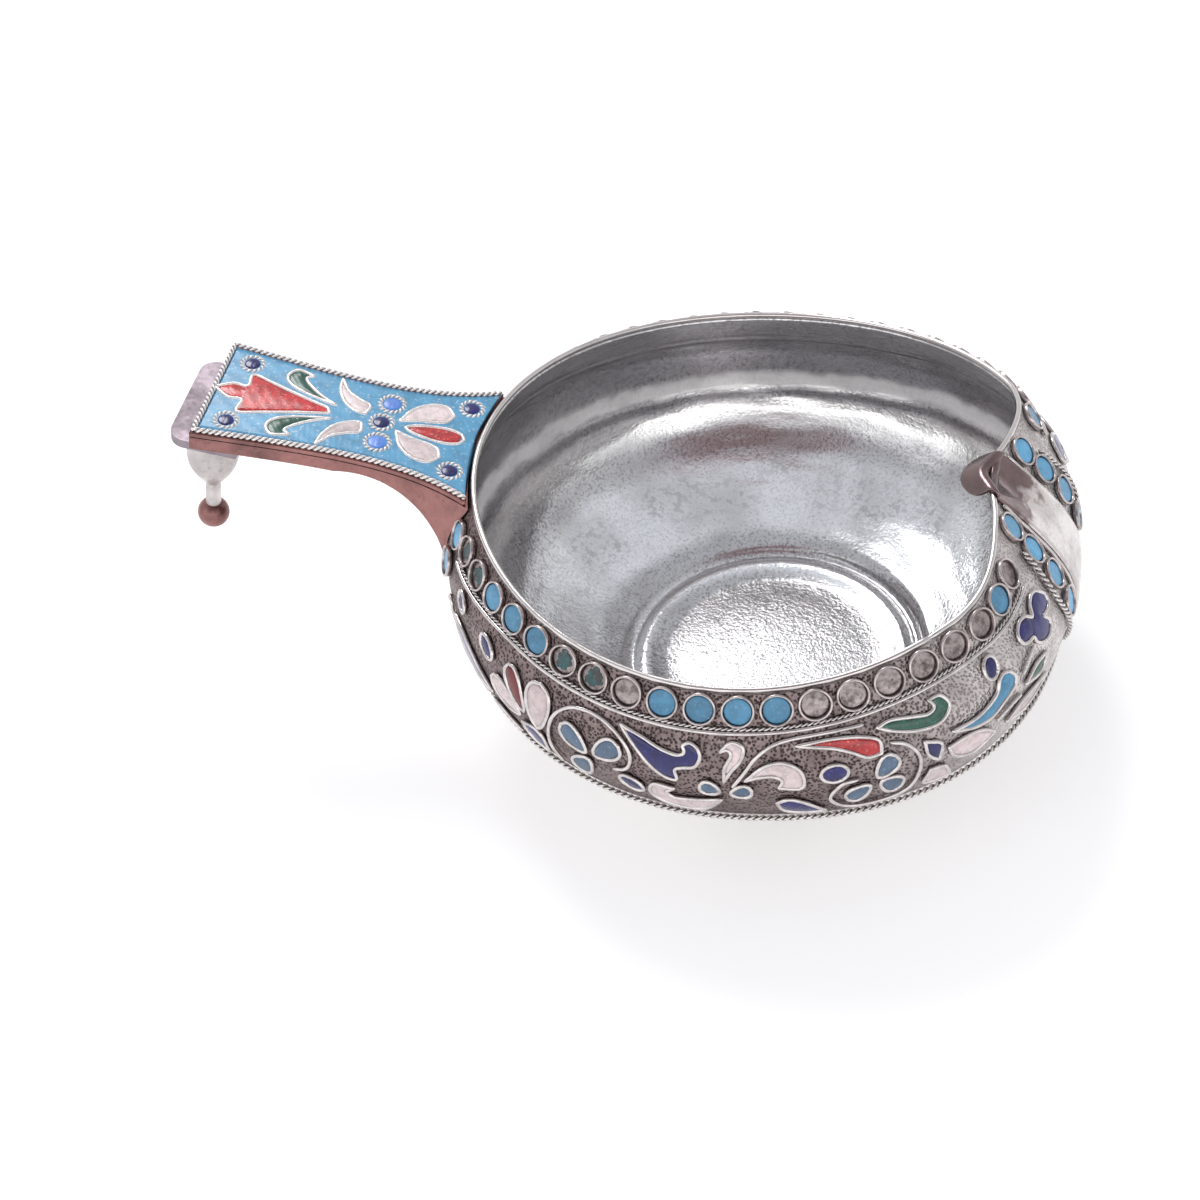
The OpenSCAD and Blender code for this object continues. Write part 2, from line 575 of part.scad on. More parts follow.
// Rings of a wire that follows points, each with the direction away from the surface
function wire_rings(pts, normals, d, corners, loop) =
    let(n = len(pts))
    [for (i = [0:n - 1])
        let(
            before = pts[loop ? (i + n - 1) % n : max(i - 1, 0)],
            after = pts[loop ? (i + 1) % n : min(i + 1, n - 1)],
            t = (after - before) / norm(after - before),
            b0 = cross(normals[i], t),
            b = b0 / norm(b0)
        )
        [for (j = [0:corners - 1])
            let(a = 360 * (j + 0.5) / corners)
            pts[i] + d / 2 * (cos(a) * normals[i] + sin(a) * b)]];

// A wire on the wall along angles and distances below the rim, at a height above the silver
module wall_wire(path, d, corners = 4, loop = false, h = 0) {
    tube(wire_rings([for (p = path) on_wall(p[0], p[1], h + seam + d / 2)],
        [for (p = path) skin_normal(p[0], p[1])], d, corners, loop), loop);
}
module drawn_wire(path, side, d, loop = false) {
    wall_wire([for (p = path) drawn(p, side)], d, 4, loop);
}

// Enamel on the wall between the two edges of a cell
module wall_enamel(edges, side) {
    e = inside(edges, cell_wire_d / 2 + seam);
    n = len(e[0]);
    middle = [for (i = [0:n - 1]) (e[0][i] + e[1][i]) / 2];
    turn = [for (i = [0:n - 2]) cross2(e[1][i] - e[0][i], middle[i + 1] - middle[i])];
    sense = turn * [for (i = [0:n - 2]) 1];
    tube([for (i = [0:n - 1])
        let(a = drawn(e[0][i], side), b = drawn(e[1][i], side))
        [on_wall(a[0], a[1], seam), on_wall(b[0], b[1], seam),
            on_wall(b[0], b[1], seam + enamel_h), on_wall(a[0], a[1], seam + enamel_h)]],
        flipped = sense * side < 0);
}
module enamels(name) {
    for (side = [-1, 1]) {
        for (c = LEAVES) if (c[0] == name) wall_enamel(leaf_edges(c), side);
        for (c = PETALS) if (c[0] == name) wall_enamel(wall_petal(c), side);
    }
}

// A collar or a disc standing on the wall
module stand_on_wall(th, s) {
    n = skin_normal(th, s);
    translate(on_wall(th, s, seam)) rotate([0, acos(n[2]), atan2(n[1], n[0])]) children();
}
module collar() {
    difference() {
        cylinder(d = collar_d, h = collar_h);
        translate([0, 0, -collar_h]) cylinder(d = collar_d - 2 * collar_t, h = 3 * collar_h);
    }
}
module disc(h) {
    cylinder(d = collar_d - 2 * collar_t - 2 * seam, h = h);
}

// Enamel and wire on the handle
module handle_enamel(edges) {
    e = inside(edges, cell_wire_d / 2 + seam);
    handle_frame() translate([0, 0, tray_top]) linear_extrude(enamel_h)
        polygon(fit(concat(e[0], backwards(e[1]))));
}
module handle_cell_wire(edges) {
    path = [for (p = fit(outline(edges))) [p[0], p[1], tray_top + cell_wire_d / 2]];
    handle_frame() tube(wire_rings(path, [for (p = path) [0, 0, 1]], cell_wire_d, 4, true), true);
}
module at_dots(places) {
    handle_frame() for (p = fit(places)) translate([p[0], p[1], tray_top]) children();
}

module bowl() {
    in_band = [for (k = [0:band_rows]) band_len * k / band_rows];
    in_belly = [for (k = [1:upper_rows]) band_len + upper_len * k / upper_rows];
    below = [for (k = [1:low_rows]) belly_s + low_len * k / low_rows];
    down = concat(in_band, in_belly, below);
    ledge_z = inner_wall(wall_len)[1];
    well = [
        [well_r + well_round, ledge_z], [well_r, ledge_z - well_round],
        [well_r - well_round, floor_z + well_round], [well_r - well_toe, floor_z]
    ];
    outer = concat([[base_r, foot_ring_h]], [for (s = backwards(down)) wall(s)]);
    inner = concat([for (s = down) inner_wall(s)], well);
    rows = concat([for (p = outer) [p, 0]], [for (p = inner) [p, sheet_t]]);
    rings = [for (r = rows) [for (th = ring_angles) place(r[0], th, r[1])]];
    color(silver) tube(rings);
}

module foot_ring() {
    color(silver) rotate_extrude() translate([base_r - foot_ring_w, 0])
        square([foot_ring_w, foot_ring_h - seam]);
}

// A round wire closes the edge of the sheet
module rim_lip() {
    pts = [for (th = ring_angles) lip_middle(th)];
    color(bright_wire) tube(wire_rings(pts, [for (th = ring_angles) [0, 0, 1]], lip_d, 6, true), true);
}

function border_path(side, gap) =
    [for (i = [0:border_steps])
        let(a = border_start + (border_end - border_start) * i / border_steps)
        [side * drawn_angle(a), rope_s + border(a) + gap]];
module band_rope() {
    color(bright_wire) for (side = [-1, 1]) wall_wire(border_path(side, 0), fine_rope_d);
}
module band_wire() {
    color(bright_wire) for (side = [-1, 1]) wall_wire(border_path(side, border_gap), cell_wire_d);
}

module dot_collars() {
    color(bright_wire) for (side = [-1, 1]) for (i = [0:dot_count - 1]) {
        p = dot_at(side, i);
        stand_on_wall(p[0], p[1]) collar();
    }
}
module dots_turquoise() {
    color(turquoise) for (side = [-1, 1]) for (i = [0:dot_count - 1]) if (dot_state(side, i) == 2) {
        p = dot_at(side, i);
        stand_on_wall(p[0], p[1]) disc(enamel_h);
    }
}
module dots_worn() {
    color(worn_teal) for (side = [-1, 1]) for (i = [0:dot_count - 1]) if (dot_state(side, i) == 1) {
        p = dot_at(side, i);
        stand_on_wall(p[0], p[1]) disc(enamel_h / 2);
    }
}

module prow_strip() {
    up_face = [for (i = [strip_steps:-1:0])
        let(s = strip_end * i / strip_steps, ys = strip_half(s) * strip_across)
        concat([for (y = ys) on_wall(strip_angle(y, s), s, seam)],
            [for (y = backwards(ys)) on_wall(strip_angle(y, s), s, seam + strip_thick(s))])];
    over = [for (bend = lip_bends) tongue_ring(bend, bend_half(bend), 0)];
    tip = [for (run = tongue_runs) tongue_ring(90 + tongue_fall, tip_half(run), run)];
    color(silver) tube(concat(up_face, over, tip), flipped = true);
}
module prow_edge_wires() {
    out = cell_wire_d / 2 + seam;
    color(bright_wire) for (side = [-1, 1])
        wall_wire([for (i = [0:strip_steps])
            let(s = edge_start + (strip_end - edge_start) * i / strip_steps)
            [side * strip_angle(strip_half(s) + out, s), s]],
            cell_wire_d);
}
module prow_ropes() {
    color(bright_wire) for (side = [-1, 1])
        wall_wire([for (p = curve(COLUMN_ROPE, strip_steps))
            let(s = band_len + p[1] * zone_len / draw_depth) [side * strip_angle(p[0], s), s]],
            rope_d);
}
module column_collars() {
    color(bright_wire) for (side = [-1, 1]) for (p = COLUMN) stand_on_wall(side * p[0], p[1]) collar();
}
module column_dots() {
    color(turquoise) for (side = [-1, 1]) for (p = COLUMN) stand_on_wall(side * p[0], p[1]) disc(enamel_h);
}

module lower_rope() {
    s = band_len + zone_len + rope_d / 2;
    color(bright_wire) wall_wire([for (th = ring_angles) [th, s]], rope_d, 4, true);
}
module leaf_wires() {
    color(bright_wire) for (side = [-1, 1]) {
        for (c = LEAVES) drawn_wire(outline(leaf_edges(c)), side, cell_wire_d, true);
        for (c = PETALS) drawn_wire(outline(wall_petal(c)), side, cell_wire_d, true);
    }
}
module stem_wires() {
    color(bright_wire) for (side = [-1, 1]) for (c = STEMS)
        drawn_wire(curve(c, stem_steps * (len(c) - 1)), side, cell_wire_d);
}
module leaves_white() {
    color(white_enamel) enamels("white");
}
module leaves_cobalt() {
    color(cobalt) enamels("cobalt");
}
module leaves_red() {
    color(red_enamel) enamels("red");
}
module leaves_dark_red() {
    color(dark_red) enamels("dark_red");
}
module leaves_green() {
    color(green_enamel) enamels("green");
}
module leaves_turquoise() {
    color(turquoise) enamels("turquoise");
}
module petals_grey_blue() {
    color(grey_blue) enamels("grey_blue");
}
module drops_cobalt() {
    color(cobalt) enamels("drop");
}

// The bracket is a block under the tray, hollowed below by a round gusset and cut to the wall
module handle_bracket() {
    color(rose_silver) difference() {
        intersection() {
            translate([-far, -far / 2, gusset_z]) cube([far, far, far]);
            handle_frame() translate([0, 0, -far]) linear_extrude(far + tray_base) polygon(handle_plan(0));
        }
        translate([-gusset_x, 0, gusset_z]) rotate([90, 0, 0]) cylinder(r = gusset_r, h = far, center = true);
        intersection() {
            handle_frame() translate([-far, -far / 2, bracket_base - far]) cube([2 * far, far, far]);
            translate([-gusset_x - far, -far / 2, 0]) cube([far, far, far]);
        }
        cup_space();
    }
}

// The space of the cup as it stands behind the handle
module cup_space() {
    side = [for (i = [wall_steps:-1:0])
        let(p = wall(wall_len * i / wall_steps)) [p[0] + seam, place(p, 180)[2]]];
    rotate_extrude() polygon(concat([[0, 0]], side, [[rim_r + seam, far], [0, far]]));
}
module handle_tray() {
    color(rose_silver) difference() {
        handle_frame() translate([0, 0, tray_base]) linear_extrude(tray_t) polygon(handle_plan(0));
        rim_space();
    }
}
module handle_ground() {
    color(turquoise) difference() {
        handle_frame() translate([0, 0, tray_top]) linear_extrude(enamel_h) difference() {
            polygon(handle_plan(rope_d + seam));
            for (c = handle_cells) polygon(widened(fit(outline(c)), cell_wire_d / 2 + seam));
            for (p = fit(COBALT_DOTS)) translate(p) circle(r = cobalt_r + ring_t + 2 * seam);
            for (p = fit(BLUE_DOTS)) translate(p) circle(r = blue_r + ring_t + 2 * seam);
        }
        rim_space(seam);
    }
}
module handle_rope() {
    open_root = [-2 * root_overlap, handle_half(0)];
    color(bright_wire) difference() {
        handle_frame() translate([0, 0, tray_top]) linear_extrude(rope_d) difference() {
            polygon(handle_plan(0));
            polygon(concat([open_root], handle_plan(rope_d), [[open_root[0], -open_root[1]]]));
        }
        rim_space();
    }
}
module handle_wires() {
    color(bright_wire) for (c = handle_cells) handle_cell_wire(c);
}
module handle_dot_rings() {
    color(bright_wire) {
        at_dots(COBALT_DOTS) dot_ring(cobalt_r);
        at_dots(BLUE_DOTS) dot_ring(blue_r);
    }
}
module dot_ring(r) {
    linear_extrude(cell_wire_d) difference() {
        circle(r = r + seam + ring_t);
        circle(r = r + seam);
    }
}
module handle_red() {
    color(red_enamel) {
        handle_enamel(tulip);
        handle_enamel(red_petal);
    }
}
module handle_green() {
    color(green_enamel) for (c = both_sides("green")) handle_enamel(c);
}
module handle_white() {
    color(white_enamel) for (c = both_sides("white")) handle_enamel(c);
}
module handle_cobalt_dots() {
    color(cobalt) at_dots(COBALT_DOTS) cylinder(r = cobalt_r, h = enamel_h);
}
module handle_blue_dots() {
    color(cornflower) at_dots(BLUE_DOTS) cylinder(r = blue_r, h = enamel_h);
}

module end_lip() {
    reach = lip_back + lip_out - lip_corner;
    from = handle_len - lip_back;
    color(silver) handle_frame() translate([from, 0, lip_top - lip_t]) linear_extrude(lip_t) {
        translate([0, -lip_half]) square([reach, 2 * lip_half]);
        translate([0, lip_corner - lip_half]) square([reach + lip_corner, 2 * (lip_half - lip_corner)]);
        for (e = [-1, 1]) translate([reach, e * (lip_half - lip_corner)]) circle(r = lip_corner);
    }
}
module hook_flare() {
    side = [for (i = [0:flare_steps])
        let(h = flare_run * i / flare_steps)
        [flare_at(h), hook_low + h]];
    color(silver) handle_frame() translate([hook_u, 0, 0]) rotate_extrude()
        polygon(concat([[0, hook_low]], side, [[flare_r, hook_top], [0, hook_top]]));
}
module hook_stem() {
    color(silver) handle_frame() translate([hook_u, 0, hook_low - stem_len])
        cylinder(r = stem_r, h = stem_len);
}
module hook_ball() {
    color(rose_silver) handle_frame() translate([hook_u, 0, ball_w]) sphere(r = ball_r);
}

bowl();
foot_ring();
rim_lip();
band_rope();
band_wire();
dot_collars();
dots_turquoise();
dots_worn();
prow_strip();
prow_edge_wires();
prow_ropes();
column_collars();
column_dots();
lower_rope();
leaf_wires();
stem_wires();
leaves_white();
leaves_cobalt();
leaves_red();
leaves_dark_red();
leaves_green();
leaves_turquoise();
petals_grey_blue();
drops_cobalt();
handle_bracket();
handle_tray();
handle_ground();
handle_rope();
handle_wires();
handle_dot_rings();
handle_red();
handle_green();
handle_white();
handle_cobalt_dots();
handle_blue_dots();
end_lip();
hook_flare();
hook_stem();
hook_ball();
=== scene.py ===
"""Enamel kovsh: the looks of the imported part, laid out as a Blender add-on."""
import math

import bpy
import numpy as np
from mathutils import Matrix, Vector


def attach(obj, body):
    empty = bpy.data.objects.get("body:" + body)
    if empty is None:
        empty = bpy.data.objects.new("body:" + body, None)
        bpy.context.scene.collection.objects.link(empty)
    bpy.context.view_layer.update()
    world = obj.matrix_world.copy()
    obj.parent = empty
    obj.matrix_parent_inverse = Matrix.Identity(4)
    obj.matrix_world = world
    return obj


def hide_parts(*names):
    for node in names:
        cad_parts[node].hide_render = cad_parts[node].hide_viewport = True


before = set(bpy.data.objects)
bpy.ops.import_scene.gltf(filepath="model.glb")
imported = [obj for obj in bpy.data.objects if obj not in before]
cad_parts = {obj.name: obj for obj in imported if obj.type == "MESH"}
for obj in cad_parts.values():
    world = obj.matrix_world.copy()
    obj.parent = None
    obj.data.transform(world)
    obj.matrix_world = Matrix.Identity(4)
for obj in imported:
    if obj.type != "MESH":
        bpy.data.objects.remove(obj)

bl_info = {
    "name": "Enamel kovsh",
    "version": (1, 0, 0),
    "blender": (4, 5, 0),
    "location": "View3D > Sidebar > Kovsh",
    "description": "Builds a small silver kovsh with wire cells of coloured enamel",
    "category": "Add Mesh",
}

MM = 0.001

# Sizes of the cup in millimetres; distances along the wall are measured down from the rim
RIM_R = 25.0
RIM_H = 22.0
RIM_RISE = 3.0
RIM_TOP = RIM_H + RIM_RISE
SHEET = 0.5
BAND_H = 2.9
BAND_FLARE = 1.5
BAND_R = RIM_R + BAND_FLARE
BAND_Z = RIM_H - BAND_H
BAND_LEN = math.hypot(BAND_FLARE, BAND_H)
BELLY_BULGE = 1.6
BELLY_DROP = 4.7
BELLY_R = BAND_R + BELLY_BULGE
BELLY_Z = BAND_Z - BELLY_DROP
UPPER_CURVE = (BELLY_DROP ** 2 + BELLY_BULGE ** 2) / (2 * BELLY_BULGE)
UPPER_SWEEP = math.asin(BELLY_DROP / UPPER_CURVE)
UPPER_LEN = UPPER_CURVE * UPPER_SWEEP
BELLY_S = BAND_LEN + UPPER_LEN
ZONE_LEN = 10.2
FOOT_R = 15.0
FOOT_Z = 2.0
FOOT_RING_H = 0.65
FOOT_SLOPE = math.radians(20)
PULL_DOWN = 0.55 * (BELLY_Z - FOOT_Z)
PULL_IN = 0.58 * (BELLY_R - FOOT_R)
LOW = np.array([
    [BELLY_R, BELLY_Z],
    [BELLY_R, BELLY_Z - PULL_DOWN],
    [FOOT_R + PULL_IN * math.cos(FOOT_SLOPE), FOOT_Z + PULL_IN * math.sin(FOOT_SLOPE)],
    [FOOT_R, FOOT_Z],
])
LOW_HULL = np.linalg.norm(np.diff(LOW, axis=0), axis=1).sum()
LOW_LEN = (2 * np.linalg.norm(LOW[3] - LOW[0]) + LOW_HULL) / 3
WALL_LEN = BELLY_S + LOW_LEN
BASE_R = FOOT_R - 0.5
FLOOR_Z = FOOT_RING_H + SHEET
WELL_SHIFT = 0.75
PROW_X = RIM_R - 4.1
PROW_SLOPE = 0.98
PROW_SWELL = 1.2
PROW_SOFT = 5.0
PINCH_HALF = 3.3
PINCH_INSET = 1.3
PROW_NOTCH = 1.4
NOTCH_HALF = 2.0
NOTCH_RUN = 7.0
SPREAD_RIGHT = 0.08
SPREAD_LEFT = 0.36
DRAW_HALF = 44.1

# Inside of the cup: ridges that planishing left, as distance below the rim, height and half width; the edge
# of the well, as radius and fall from the end of the wall; its bead, as radius and height over the floor
RIDGES = [(4.3, 0.14, 0.5), (11.6, 0.2, 0.5)]
WELL_EDGE = [(14.5, 0.16), (14.1, 0.42), (13.8, 0.74)]
WELL_BEAD = [(13.5, 0.38), (13.2, 0.34), (12.8, 0.48), (12.2, 0.6), (11.6, 0.5), (10.9, 0.24),
             (10.2, 0.06), (9.2, 0)]
WELL_STEPS = 90
FLOOR_STEPS = 14
CENTRE_R = 0.3
BOWL_HEART = (0, 0, 14.0)

# Belts of the material inside, as start, full, fade and end, below the rim: two rings of painted reflection,
# the dark spots and painted light on the lower wall; and the bead's painted highlight, by its radius
UPPER_RING = (8.8, 10.2, 10.6, 11.9)
LOWER_RING = (12.1, 13.6, 14.2, 16.8)
SPOT_BELT = (19.0, 21.0, 24.0, 26.0)
PAINTED_LIGHT_BELT = (17.5, 20.0, WALL_LEN - 1.5, WALL_LEN)
BEAD_HIGHLIGHT_RING = (0.0105, 0.0116, 0.0124, 0.0134)

# Steps round the cup, which lie closer at the prow, and along its profile; short steps for slopes
RING_STEPS = 320
LIP_STEPS = 600
PROW_CROWD = 25
WALL_STEPS = 50
NEAR_S = 0.04
NEAR_ANGLE = 0.4
NICK_ANGLE = 312
HAMMER_WAVES = 48

# Where the ground between the cells grows brighter, across the drawing towards the prow
BRIGHT_FROM = 8
BRIGHT_RUN = 22

# Points along the edges of leaves and petals, outlines, stems, borders, the prow's wires, and the handle's
# rope and rings
LEAF_STEPS = 60
PETAL_STEPS = 16
OUTLINE_POINTS = 110
STEM_POINTS = 90
BORDER_POINTS = 700
LOW_ROPE_POINTS = 1440
PROW_POINTS = 120
EDGE_POINTS = 200
RING_POINTS = 48

# Wires, enamel and dots; LET_IN is the part of the seam that is closed here, and the enamel of a cell goes a
# little under its wire
SEAM = 0.06
LET_IN = 0.04
ENAMEL_LAP = 0.04
GOLDEN = 0.618
LIP_D = 0.55
ROPE_D = 0.55
FINE_ROPE_D = 0.35
WIRE_D = 0.4
ENAMEL_H = 0.3
WIRE_FLAT = 0.94
WIRE_SIDES = 10
BLUNT_POINTS = 3
OPEN_WAVES = 27
CLOSED_WAVES = 6 * math.pi
ROPE_FLAT = 0.95
ROPE_SIDES = 12
ROPE_CORE = 0.16
FINE_CORE = 0.1
HANDLE_CORE = 0.12
COARSE_TWIST = 1.1
FINE_TWIST = 0.9
RING_TWIST = 0.8
STEPS_PER_LOBE = 5
LIP_SIDES = 14
COLLAR_R = 1.42
COLLAR_T = 0.22
COLLAR_H = 0.5
COLLAR_SIDES = 10
COLLAR_SOFT = 0.6
HAND_PLAY = 0.02
DISC_R = COLLAR_R - COLLAR_T - SEAM
DOT_ANGLES = np.linspace(0, 2 * np.pi, 32, endpoint=False)[:, None]
DOT_R = RIM_R + BAND_FLARE / 2
DOT_S = 1.4
ROPE_S = DOT_S + 1.35 + FINE_ROPE_D / 2 + 0.03
BORDER_GAP = 0.4
BORDER_ENDS = (-32.6, 33.6)
BORDER_FALL = 0.8
BORDER_FROM = -20
BORDER_RUN = 12
STRIP_T = 0.55
STRIP_END = BAND_LEN + ZONE_LEN - 0.3
STRIP_HALF = 2.9
STRIP_WIDEN = 0.4
TONGUE_T = 0.3
TONGUE_HALF = 2.2
TONGUE_LEN = 1.7
TONGUE_FALL = math.radians(35)

# Handle: u along its slope from the rim, v across, w up from the enamel
HANDLE_LEN = 25.2
HANDLE_HALF = 6.4
HANDLE_TAPER = 2.6
HANDLE_FLARE = 3.8
PITCH = math.radians(11.4)
ROOT_X = RIM_R - 0.6
ROOT_Z = RIM_TOP + 0.1
RIM_SPACE = RIM_R + ROPE_D / 2 + 0.15
TRAY_T = 0.5
COBALT_R = 0.85
BLUE_R = 0.95
RING_D = 0.54
RING_OUT = 0.14
RING_SINK = 0.12
DOT_IN = 0.12

# Places of the dots, as angles and distances below the rim
COLUMN_FIRST = 1.3
COLUMN_STEP = 2.45
ROOT_FIRST = 3.0
ROOT_STEP = 2.95
COLUMN_ANGLE = math.degrees(math.asin(5.0 / DOT_R))
ROOT_ANGLE = 180 - math.degrees(math.asin(8.779 / BAND_R))
DOT_STEP = math.degrees(3.1 / DOT_R)
FIRST_ANGLE = ROOT_ANGLE - math.degrees((2.7 + SEAM) / DOT_R)
DOT_COUNT = 20
DOT_DOME = 0.6
WORN_SIZE = 0.96
WORN_RAGGED = 0.5
COLUMN_SEED = 60.0
WORN = {-1: (0, 1, 5, 6), 1: (3, 11)}
EMPTY = {-1: (7, 12, 13, 14, 15, 16, 17, 19), 1: (4, 15)}

# Ornament of the right side, drawn flat: across from the handle to the prow, and down
LEAVES = [
    ("cobalt", [(-30.2, 4.4), (-28.3, 4.4), (-26.7, 4.9), (-25, 5.6), (-22.8, 6.6)],
     [(-30.2, 4.4), (-29.6, 6.2), (-28.4, 7.1), (-26.4, 7.4), (-22.8, 6.6)]),
    ("cobalt", [(-18.5, 6.5), (-16.9, 6), (-15.9, 6.6), (-15.8, 8.4)],
     [(-18.5, 6.5), (-18, 7.5), (-17.2, 8.1), (-15.8, 8.4)]),
    ("cobalt", [(-8, 1), (-6, 1.45), (-4.5, 2), (-3.1, 2.3), (-2.4, 2.15), (-2.3, 1.8), (-2.5, 1.45)],
     [(-8, 1), (-6.4, 2.6), (-5.2, 3.8), (-4, 4.6), (-2.9, 4.75), (-3.05, 3.75), (-2.4, 3.4),
      (-1.4, 3.15), (-0.95, 2.3), (-1.2, 1.5), (-1.9, 1.1), (-2.5, 1.45)]),
    ("cobalt", [(28.8, 1.55), (29, 1.15), (29.8, 0.8), (30.8, 0.95), (31.25, 1.25), (31.5, 1.46),
                (31.6, 1.55), (31.7, 1.6), (31.8, 1.57), (31.9, 1.48), (32.1, 1.28), (32.6, 0.98),
                (33.5, 0.9), (34.4, 1.25), (35.2, 2.1)],
     [(28.8, 1.55), (29, 2.05), (29.7, 2.35), (30.5, 2.5), (30.6, 3), (31.2, 3.5), (32, 3.83),
      (32.8, 3.87), (33.5, 3.55), (33.55, 3.1), (33.05, 2.6), (33.7, 2.7), (34.4, 2.8), (35, 2.65),
      (35.2, 2.1)]),
    ("white", [(0.7, 6.6), (-1.3, 7), (-3.2, 7.2), (-3.9, 6.6), (-3.2, 5.9)],
     [(0.7, 6.6), (-1, 8.6), (-3.6, 8.6), (-5.3, 7.4), (-5, 5.9), (-3.2, 5.9)]),
    ("white", [(1, 4.4), (1.1, 3), (1.6, 1.9), (1.3, 1.4), (0.7, 1.6)],
     [(1, 4.4), (1.6, 3.3), (2.4, 2.3), (2.6, 1.2), (1.6, 0.8), (0.7, 1.6)]),
    ("white", [(2.7, 4.2), (4.2, 2.9), (5.8, 2.6), (7.2, 3.5), (7.3, 5.1), (5.4, 5)],
     [(2.7, 4.2), (4, 3.8), (5.1, 3.8), (5.7, 4.3), (5.4, 5)]),
    ("red", [(7, 1.3), (9.6, 1.2), (12, 1.5), (13.7, 2.2), (13.8, 3.3)],
     [(7, 1.3), (9.8, 1.9), (11.4, 2.6), (12.6, 3.3), (13.8, 3.3)]),
    ("green", [(13.8, 1.3), (15, 1.1), (16.9, 1.5), (18.2, 1.8), (18.9, 1.5), (18.6, 0.9)],
     [(13.8, 1.3), (15.2, 2), (17, 2.6), (19, 2.8), (20.2, 2), (19.7, 1), (18.6, 0.9)]),
    ("cobalt", [(9.2, 8.8), (7.6, 7.2), (6.2, 6.5), (5.2, 6.9)],
     [(9.2, 8.8), (7.4, 8.8), (5.8, 8.2), (5.2, 6.9)]),
    ("cobalt", [(17.4, 3.7), (18.8, 4.5), (18.5, 5.9)], [(17.4, 3.7), (17.6, 5), (18.5, 5.9)]),
    ("white", [(19.4, 5.2), (21.4, 5.1), (22.9, 5.6), (24, 6.6)],
     [(19.4, 5.2), (20, 6.4), (21.8, 7.2), (24, 6.6)]),
    ("white", [(17.8, 6.6), (19.1, 7), (19.8, 8.6)], [(17.8, 6.6), (17.4, 8.2), (19.8, 8.6)]),
    ("turquoise", [(19.9, 4), (21.9, 4.1), (23.3, 3.9), (24.6, 3.4), (25.2, 2.7), (25.7, 2.45), (26.4, 2.65)],
     [(19.9, 4), (22, 4.75), (23.8, 4.9), (25.3, 4.4), (26.2, 4.1), (26.75, 3.8), (26.85, 3.25),
      (26.4, 2.65)]),
    ("green", [(27.9, 4.8), (29.5, 4.2), (31.4, 4.4)], [(27.9, 4.8), (30, 5.2), (31.4, 4.4)]),
    ("white", [(25.4, 6.6), (27.8, 5.9), (31.2, 6.2)], [(25.4, 6.6), (28.2, 7.1), (31.2, 6.2)]),
    ("white", [(-24.6, 7.9), (-27, 8), (-29.4, 8.9)], [(-24.6, 7.9), (-26, 9.3), (-29.4, 8.9)]),
    ("green", [(-24, 8.6), (-22.4, 8), (-19.6, 8.9)], [(-24, 8.6), (-22, 9.6), (-19.6, 8.9)]),
]
PETALS = [
    ("dark_red", (-17.9, 4.9), (-20.3, 1.8), 1.9),
    ("white", (-18.5, 5.6), (-22.4, 4.5), 2.1),
    ("white", (-16.4, 5.6), (-16.3, 1.2), 2.8),
    ("grey_blue", (-11.1, 5), (-13.6, 3.4), 2),
    ("grey_blue", (-10.3, 4.8), (-8, 3), 2),
    ("grey_blue", (-10.9, 5.7), (-12.4, 7.9), 2),
    ("grey_blue", (0.6, 5.6), (-1, 5), 1.4),
    ("grey_blue", (1.5, 5.7), (3.2, 5.3), 1.4),
    ("grey_blue", (13.3, 5.4), (14.9, 3.9), 1.8),
    ("grey_blue", (12.7, 6.1), (10.9, 7.4), 1.8),
    ("grey_blue", (13.6, 6), (15.3, 7.2), 1.8),
    ("drop", (-28.1, 2.6), (-29.8, 1.8), 1),
    ("drop", (-22.5, 2.9), (-24.6, 2), 1.3),
    ("drop", (-8, 6.2), (-6, 7.2), 1.4),
    ("drop", (8.8, 4.1), (11, 4.2), 1.6),
    ("drop", (24.5, 2.2), (25.3, 0.7), 1.4),
    ("drop", (-31.6, 8.6), (-33.4, 7.4), 1.4),
]
STEMS = [
    [(-14.2, 8.6), (-15.1, 6.2), (-14.6, 3.4), (-13.2, 1.7), (-11.4, 1.1), (-9.4, 1.3),
     (-7.7, 2.3), (-6.9, 3.6), (-7.3, 5), (-8.6, 5.6)],
    [(1.6, 5), (2.8, 3.2), (3.6, 2.1), (5, 1.1), (6.8, 0.7), (9.6, 0.65), (12.8, 0.75)],
    [(14.6, 2.7), (15.9, 3.3), (16.8, 4.6), (16.8, 6.2), (15.8, 8.2), (13.5, 8.9),
     (11, 8.6), (9.5, 6.9), (10.4, 5.4), (11.8, 5.2)],
    [(24.2, 5.6), (25.8, 5.3), (27.2, 5.2)],
    [(30, 2.9), (28.9, 3.2), (27.7, 3.8)],
    [(-35.4, 9.6), (-34.4, 6.4), (-32, 4.2), (-31, 5.6)],
]
COLUMN_ROPE = [(6.64, -0.7), (6.96, 1), (7.41, 2.6), (7.41, 4.2), (6.83, 6), (5.97, 8), (5.09, 9.6)]
TULIP_EDGE = [(24.9, 0), (23.4, 0.95), (22.1, 0.95), (22.1, 2.6), (20.2, 2.1), (17.4, 1.2), (14.2, 0.3)]
HANDLE_LEAVES = [
    ("green", [(13.9, 0.9), (17, 1.7), (18.6, 2.5), (19.1, 3.5), (18.4, 4.5), (16.8, 4.1)],
     [(13.9, 0.9), (15.7, 1.9), (17, 3), (17.4, 3.7), (16.8, 4.1)]),
    ("white", [(14.3, 4.6), (14.1, 3.1), (13.3, 1.6), (12.2, 0.8), (11.2, 0.6)],
     [(14.3, 4.6), (13.3, 3.1), (12, 2.3), (11, 1.8), (11.2, 0.6)]),
    ("white", [(8, 0.7), (7.2, 2.5), (5.9, 3.6), (4.4, 3.8), (3.5, 2.9)],
     [(8, 0.7), (6.4, 1.2), (4.8, 1.5), (3.9, 1.9), (3.5, 2.9)]),
]
